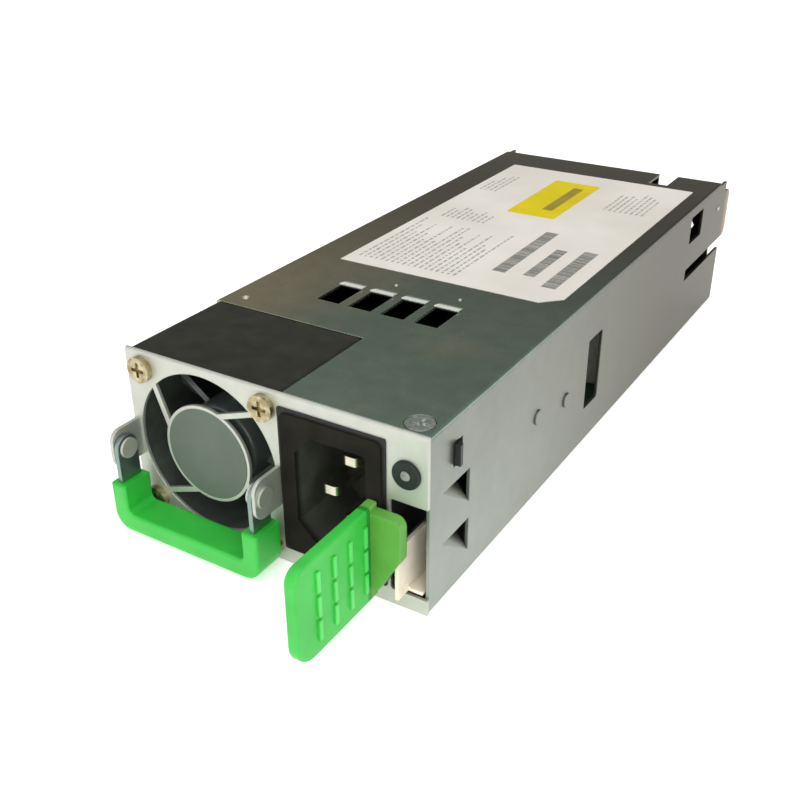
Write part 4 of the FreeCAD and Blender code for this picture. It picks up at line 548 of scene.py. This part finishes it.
# %% Give each solid its finish
FINISH_OF_SLOT = {
    "zinc_steel": case_steel,
    "bright_steel": panel_steel,
    "spring_steel": spring_steel,
    "yellow_zinc": yellow_zinc,
    "green_plastic": green_plastic,
    "black_plastic": black_plastic,
    "clear_plastic": lens,
    "brass_pin": nickel,
    "gold_contact": gold,
    "board_laminate": solder_mask,
    "ferrite": ferrite,
    "copper_wire": copper,
    "sleeve": shrink_sleeve,
    "aluminium": aluminium,
    "film": film,
    "yellow_tape": tape,
    "wire_sleeve": wire_cover,
}
FINISH_OF_NODE = {
    "top_cover": cover_steel,
    "cover_screw": screw_zinc,
    "handle_bail": bail_steel,
    "release_lever": lever_plastic,
    "fan_frame": fan_plastic,
    "fan_rotor": blade_plastic,
    "inlet_housing": inlet_plastic,
    "light_bezel": ring_plastic,
    "light_pipe": lamp_lens,
    "line_capacitor": grey_resin,
}
for part in frame["record"]["subparts"]:
    finish = FINISH_OF_NODE.get(part["node"], FINISH_OF_SLOT[part["material_slot"]])
    for holder in nodes[part["node"]].material_slots:
        holder.material = finish

# %% [markdown]
# ## The label
# A white film label covers most of the roof. It has one cut corner, and its print is generic here: three
# blocks of bars, a yellow patch with a dark bar, and rows of short grey dashes where a real label has
# words. The film and each ink are thin flat pieces, because print this fine would need a picture otherwise.

# %% Flat pieces from outlines
COVER_MM = 0.8
ROOF_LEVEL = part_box("base_tray")[1][2] + COVER_MM * MM
FILM_THICK = 0.10 * MM
INK_THICK = 0.03 * MM


def add_piece(name, points, faces, finish, body, smooth=True):
    """Puts a computed surface into the scene, riding on a body and taking its finish from a slot."""
    mesh = bpy.data.meshes.new(name)
    mesh.from_pydata(np.asarray(points).tolist(), [], faces)
    mesh.materials.append(finish)
    mesh.polygons.foreach_set("use_smooth", [smooth] * len(mesh.polygons))
    piece = bpy.data.objects.new(name, mesh)
    bpy.context.scene.collection.objects.link(piece)
    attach(piece, body)


def flat_piece(name, outlines, level, thick, finish):
    """Closed flat tiles: each outline is drawn once below and once above, and its rim is closed between."""
    corners, faces = [], []
    for outline in outlines:
        outline = np.asarray(outline, float) * MM
        count, first = len(outline), len(corners)
        low = np.column_stack([outline, np.full(count, level)])
        high = np.column_stack([outline, np.full(count, level + thick)])
        corners.extend(np.vstack([low, high]).tolist())
        ring = first + np.arange(count)
        following = np.roll(ring, -1)
        faces.append(ring[::-1].tolist())
        faces.append((ring + count).tolist())
        faces.extend(np.column_stack([ring, following, following + count, ring + count]).tolist())
    add_piece(name, corners, faces, finish, "module", smooth=False)


def tile(left, front, right, rear):
    """A rectangle's corners in millimetres, anticlockwise from the front left."""
    return [(left, front), (right, front), (right, rear), (left, rear)]


def rounded(left, front, right, rear, radius, steps=5):
    """A rectangle with quarter circles for corners: each one's centre plus the radius at stepped angles."""
    turns = np.linspace(0, math.pi / 2, steps)
    points = []
    for quarter, (x, y) in enumerate([(right - radius, rear - radius), (left + radius, rear - radius),
                                      (left + radius, front + radius), (right - radius, front + radius)]):
        angle = turns + quarter * math.pi / 2
        points.append(np.column_stack([x + radius * np.cos(angle), y + radius * np.sin(angle)]))
    return np.vstack(points)


print("roof at", round(ROOF_LEVEL / MM, 2), "mm")

# %% Label film and patch
LABEL_LEFT, LABEL_FRONT, LABEL_RIGHT, LABEL_REAR = -27.0, 65.5, 32.0, 165.5
LABEL_CUT = 4.5
PATCH, PATCH_ROUND = (-8.0, 121.0, 6.5, 156.0), 0.8
PATCH_BAR = (0.0, 127.5, 3.0, 151.0)

label_film = coated_finish("white_label_film", ("d3cdc3", "e1dcd4"), 0.48, 0.6, 26.0, 0.01,
                           Specular_IOR_Level=0.3)
yellow_ink = coated_finish("yellow_ink", ("ccb702", "dac50c"), 0.5, 0.6, 12.0, 0.004, Specular_IOR_Level=0.2)
olive_ink = coated_finish("olive_ink", ("857408", "9a880d"), 0.35, 0.45, 3.0, 0.004)

label_outline = [(LABEL_LEFT, LABEL_FRONT), (LABEL_RIGHT - LABEL_CUT, LABEL_FRONT),
                 (LABEL_RIGHT, LABEL_FRONT + LABEL_CUT), (LABEL_RIGHT, LABEL_REAR), (LABEL_LEFT, LABEL_REAR)]
INK_LEVEL = ROOF_LEVEL + FILM_THICK
flat_piece("label_film", [label_outline], ROOF_LEVEL, FILM_THICK, label_film)
flat_piece("label_patch", [rounded(*PATCH, PATCH_ROUND)], INK_LEVEL, INK_THICK, yellow_ink)
flat_piece("label_patch_bar", [tile(*PATCH_BAR)], INK_LEVEL + INK_THICK, INK_THICK, olive_ink)
print("label", LABEL_RIGHT - LABEL_LEFT, "by", LABEL_REAR - LABEL_FRONT, "mm")

# %% [markdown]
# The three blocks are rows of thin strokes of uneven width, which blur to grey from a distance as printed
# bars do. Their widths come from a seeded random sequence, so they hold no code and are the same on every
# run. The dashes that stand for lines of print have random lengths for the same reason.

# %% Bars and dashes
BLOCKS = [(9.3, 78.0, 12.8, 110.5), (17.2, 79.0, 20.2, 99.3), (24.0, 74.5, 27.7, 101.5)]
STROKE_PITCH = 0.62
INK_SHARE = (0.55, 0.9)
PRINT_AREAS = [(-24.5, 70, 4, 106), (-22, 108, -8, 119), (15.0, 136.0, 28.0, 160.0), (-24.5, 136, -19, 156)]
LINE_PITCH, LINE_TALL, LINE_SHARE = 1.6, 0.5, (0.55, 1.0)
DASH_LONG, DASH_GAP, MOST_DASHES = (0.6, 2.6), 0.7, 60
chance = np.random.default_rng(7)
grey_ink = coated_finish("grey_ink", ("686964", "7c7d77"), 0.4, 0.5, 1.0, 0.004)
pale_ink = coated_finish("pale_grey_ink", ("8f908b", "a9aaa4"), 0.4, 0.5, 3.0, 0.004)


def block_strokes(left, front, right, rear):
    """Strokes across a block: even starts along its length, each as wide as a random share of the pitch."""
    starts = np.arange(front, rear, STROKE_PITCH)
    wide = STROKE_PITCH * chance.uniform(*INK_SHARE, len(starts))
    return [tile(left, start, right, min(start + width, rear)) for start, width in zip(starts, wide)]


def dash_rows(left, front, right, rear):
    """Rows of dashes along the label: random lengths with even gaps, each row ending at a random place."""
    tiles = []
    for x in np.arange(left, right - LINE_TALL, LINE_PITCH):
        end = chance.uniform(*LINE_SHARE) * (rear - front) + front
        lengths = chance.uniform(*DASH_LONG, MOST_DASHES)
        starts = front + np.concatenate([[0], np.cumsum(lengths + DASH_GAP)[:-1]])
        keep = starts + lengths < end
        tiles += [tile(x, y, x + LINE_TALL, y + length) for y, length in zip(starts[keep], lengths[keep])]
    return tiles


strokes = [stroke for block in BLOCKS for stroke in block_strokes(*block)]
flat_piece("label_blocks", strokes, INK_LEVEL, INK_THICK, grey_ink)
dashes = [dash for area in PRINT_AREAS for dash in dash_rows(*area)]
flat_piece("label_dashes", dashes, INK_LEVEL, INK_THICK, pale_ink)
print("strokes", len(strokes), "dashes", len(dashes))

# %% [markdown]
# ## Guard film, dimples and the tab's rivet
# The blank disc of the finger guard carries a round grey film, and a rim of bright metal shows round it.
# Each of the next three pieces is a profile turned about an axis: the radius and height of its points are
# given from the lower pole to the upper one, so both ends close. The film is turned flat and then stood up
# before the fan.

# %% Turned pieces
def turned(profile, steps):
    """Points (r cos a, r sin a, h) for each profile point (r, h) and angle a; both ends are single poles."""
    radius, height = np.array(profile, float).T * MM
    angle = np.linspace(0, 2 * math.pi, steps, endpoint=False)
    rings = np.stack([np.outer(radius[1:-1], np.cos(angle)), np.outer(radius[1:-1], np.sin(angle)),
                      np.repeat(height[1:-1, None], steps, axis=1)], axis=-1)
    points = np.vstack([[0, 0, height[0]], rings.reshape(-1, 3), [0, 0, height[-1]]])
    index = 1 + np.arange(rings.shape[0] * steps).reshape(-1, steps)
    after = np.roll(index, -1, axis=1)
    sides = np.stack([index[:-1], after[:-1], after[1:], index[1:]], axis=-1).reshape(-1, 4)
    low = np.column_stack([np.zeros(steps, int), after[0], index[0]])
    high = np.column_stack([np.full(steps, len(points) - 1), index[-1], after[-1]])
    return points, sides.tolist() + low.tolist() + high.tolist()


# %% Guard film
GUARD_FILM_RADIUS, GUARD_FILM_MM, GUARD_FILM_STEPS = 10.5, 0.1, 64
grey_film = coated_finish("grey_disc_film", ("4d594d", "576356"), 0.42, 0.52, 9.0, 0.006)
film_profile = [(0, 0), (GUARD_FILM_RADIUS - 0.05, 0), (GUARD_FILM_RADIUS, 0.04),
                (GUARD_FILM_RADIUS - 0.04, GUARD_FILM_MM), (0, GUARD_FILM_MM)]
points, faces = turned(film_profile, GUARD_FILM_STEPS)
upright = np.column_stack([points[:, 0] + FAN_X * MM, -points[:, 2], points[:, 1] + FAN_Z * MM])
add_piece("guard_film", upright, faces, grey_film, "module", smooth=False)
print("guard film", GUARD_FILM_RADIUS * 2, "mm across")

# %% [markdown]
# The roof has three small dimples, pressed up from inside to locate the cover, and one small rivet shows as
# a light dot on the upper tab of the right wall. Both start a little below the sheet, so no gap shows under
# them. A dimple has no edge: its height is (1 - r squared) squared, which leaves the sheet level. The
# rivet's dome is part of a ball, the root of (1 - r squared), and it is laid on its side so that it stands
# out along x.

# %% Roof dimples
DIMPLES = [(-31.7, 33.7, 1.3), (-5.6, 57.6, 0.8), (11.6, 57.6, 0.8)]
DIMPLE_RISE, SUNK_MM = 0.3, 0.02
all_points, all_faces = [], []
reach = np.linspace(1, 0, 6)[:-1]
for x, y, radius in DIMPLES:
    dome = [(0, -SUNK_MM), *zip(radius * reach, DIMPLE_RISE * (1 - reach ** 2) ** 2), (0, DIMPLE_RISE)]
    points, faces = turned(dome, steps=24)
    shift = len(all_points)
    all_points += (points + np.array([x * MM, y * MM, ROOF_LEVEL])).tolist()
    all_faces += [[corner + shift for corner in face] for face in faces]
add_piece("roof_dimples", all_points, all_faces, cover_steel, "module")
print("dimples", len(DIMPLES))

# %% Tab rivet
RIVET_PLACE, RIVET_RADIUS, RIVET_RISE = (36.75, 178.5, 32.3), 0.8, 0.4
reach = np.linspace(1, 0, 7)[:-1]
dome = [(0, -SUNK_MM), *zip(RIVET_RADIUS * reach, RIVET_RISE * np.sqrt(1 - reach ** 2)), (0, RIVET_RISE)]
points, faces = turned(dome, steps=28)
sideways = np.column_stack([points[:, 2], points[:, 0], points[:, 1]]) + np.array(RIVET_PLACE) * MM
add_piece("tab_rivet", sideways, faces, screw_zinc, "module")
print("tab rivet", RIVET_RADIUS * 2, "mm across")

# %% [markdown]
# ## Inlet flange rim, painted shadow and latch foot
# A thin black ring round the inlet's flange makes the flange look about a millimetre larger, as the real one
# is, and paints the dark shadow line along its edge. It is a ring between two rounded outlines with the same
# number of points, so four strips of quads close it.

# %% Inlet rim and painted shadow
RIM_LOW, RIM_HIGH = 0.01, 0.3
SEAT_CLEAR = 0.02
FLANGE_ROUND, RIM_ROUND = 1.5, 0.5
SHOWS_LEFT, SHOWS_BELOW, SHOWS_RIGHT, SHOWS_ABOVE = 0.75, 0.6, 0.8, 0.85


def ring_between(inner, outer, low, high):
    """A closed ring: both outlines at both levels, joined point by point on the four sides."""
    count = len(inner)
    points = [(x, y, z) for outline, z in ((inner, low), (outer, low), (outer, high), (inner, high))
              for x, y in outline]
    index = np.arange(4 * count).reshape(4, count)
    after = np.roll(index, -1, axis=1)
    faces = [np.stack([index[a], index[b], after[b], after[a]], axis=-1)
             for a, b in ((0, 1), (1, 2), (2, 3), (3, 0))]
    return np.array(points, float), np.concatenate(faces).tolist()


flange_low, flange_high = (np.array(corner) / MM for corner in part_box("inlet_housing"))
left, right = flange_low[0] - SEAT_CLEAR, flange_high[0] + SEAT_CLEAR
bottom, top = flange_low[2] - SEAT_CLEAR, flange_high[2] + SEAT_CLEAR
inner = rounded(left, bottom, right, top, FLANGE_ROUND)
outer = rounded(left - SHOWS_LEFT, bottom - SHOWS_BELOW, right + SHOWS_RIGHT, top + SHOWS_ABOVE, RIM_ROUND)
flat, faces = ring_between(inner, outer, RIM_LOW, RIM_HIGH)
# The ring is partly the flange's own black and partly painted shadow along its edge.
rim_and_shadow = coated_finish("black_flange_rim_and_painted_shadow", ("0d0d0c", "171715"), 0.55, 0.7, 1.5, 0.01)
upright = np.column_stack([flat[:, 0], -flat[:, 2], flat[:, 1]]) * MM
add_piece("inlet_rim_and_painted_shadow", upright, faces, rim_and_shadow, "module", smooth=False)
print("flange_rim", *(np.ptp(outer, axis=0).round(2)), "mm")

# %% [markdown]
# The lower edge of the latch spring is folded out towards the wall, which stiffens it and closes the foot
# of the opening. The foot is a folded strip: its cross-section is a bent line with a thickness, carried
# along the depth. It rides on the latch, so it swings in with the lever.

# %% Latch foot
FOOT_X, FOOT_Y, FOOT_Z = (32.45, 35.6), (0.2, 12.5), (4.45, 5.05)
FOOT_FOLD, FOOT_STEPS = 0.5, 40


def folded_strip(profile, start, end, steps):
    """Carries a closed cross-section (x, z) along y in even steps, and closes both ends with one polygon."""
    section = np.array(profile, float)
    depth = np.linspace(start, end, steps)
    points = np.stack([np.repeat(section[None, :, 0], steps, axis=0),
                       np.repeat(depth[:, None], len(section), axis=1),
                       np.repeat(section[None, :, 1], steps, axis=0)], axis=-1).reshape(-1, 3)
    index = np.arange(steps * len(section)).reshape(steps, -1)
    after = np.roll(index, -1, axis=1)
    sides = np.stack([index[:-1], index[1:], after[1:], after[:-1]], axis=-1).reshape(-1, 4)
    return points, sides.tolist() + [index[0].tolist(), index[-1][::-1].tolist()]


turn = np.linspace(0, math.pi / 2, 6)
fold_x, fold_z = FOOT_X[0] + FOOT_FOLD, FOOT_Z[1] + FOOT_FOLD
section = [(FOOT_X[0], FOOT_Z[0]), (FOOT_X[1], FOOT_Z[0]), (FOOT_X[1], FOOT_Z[1])]
section += [(fold_x - FOOT_FOLD * math.sin(a), fold_z - FOOT_FOLD * math.cos(a)) for a in turn]
points, faces = folded_strip(section, *FOOT_Y, FOOT_STEPS)
add_piece("latch_foot", points * MM, faces, spring_steel, "latch")
print("latch foot", round(FOOT_X[1] - FOOT_X[0], 2), "mm wide")
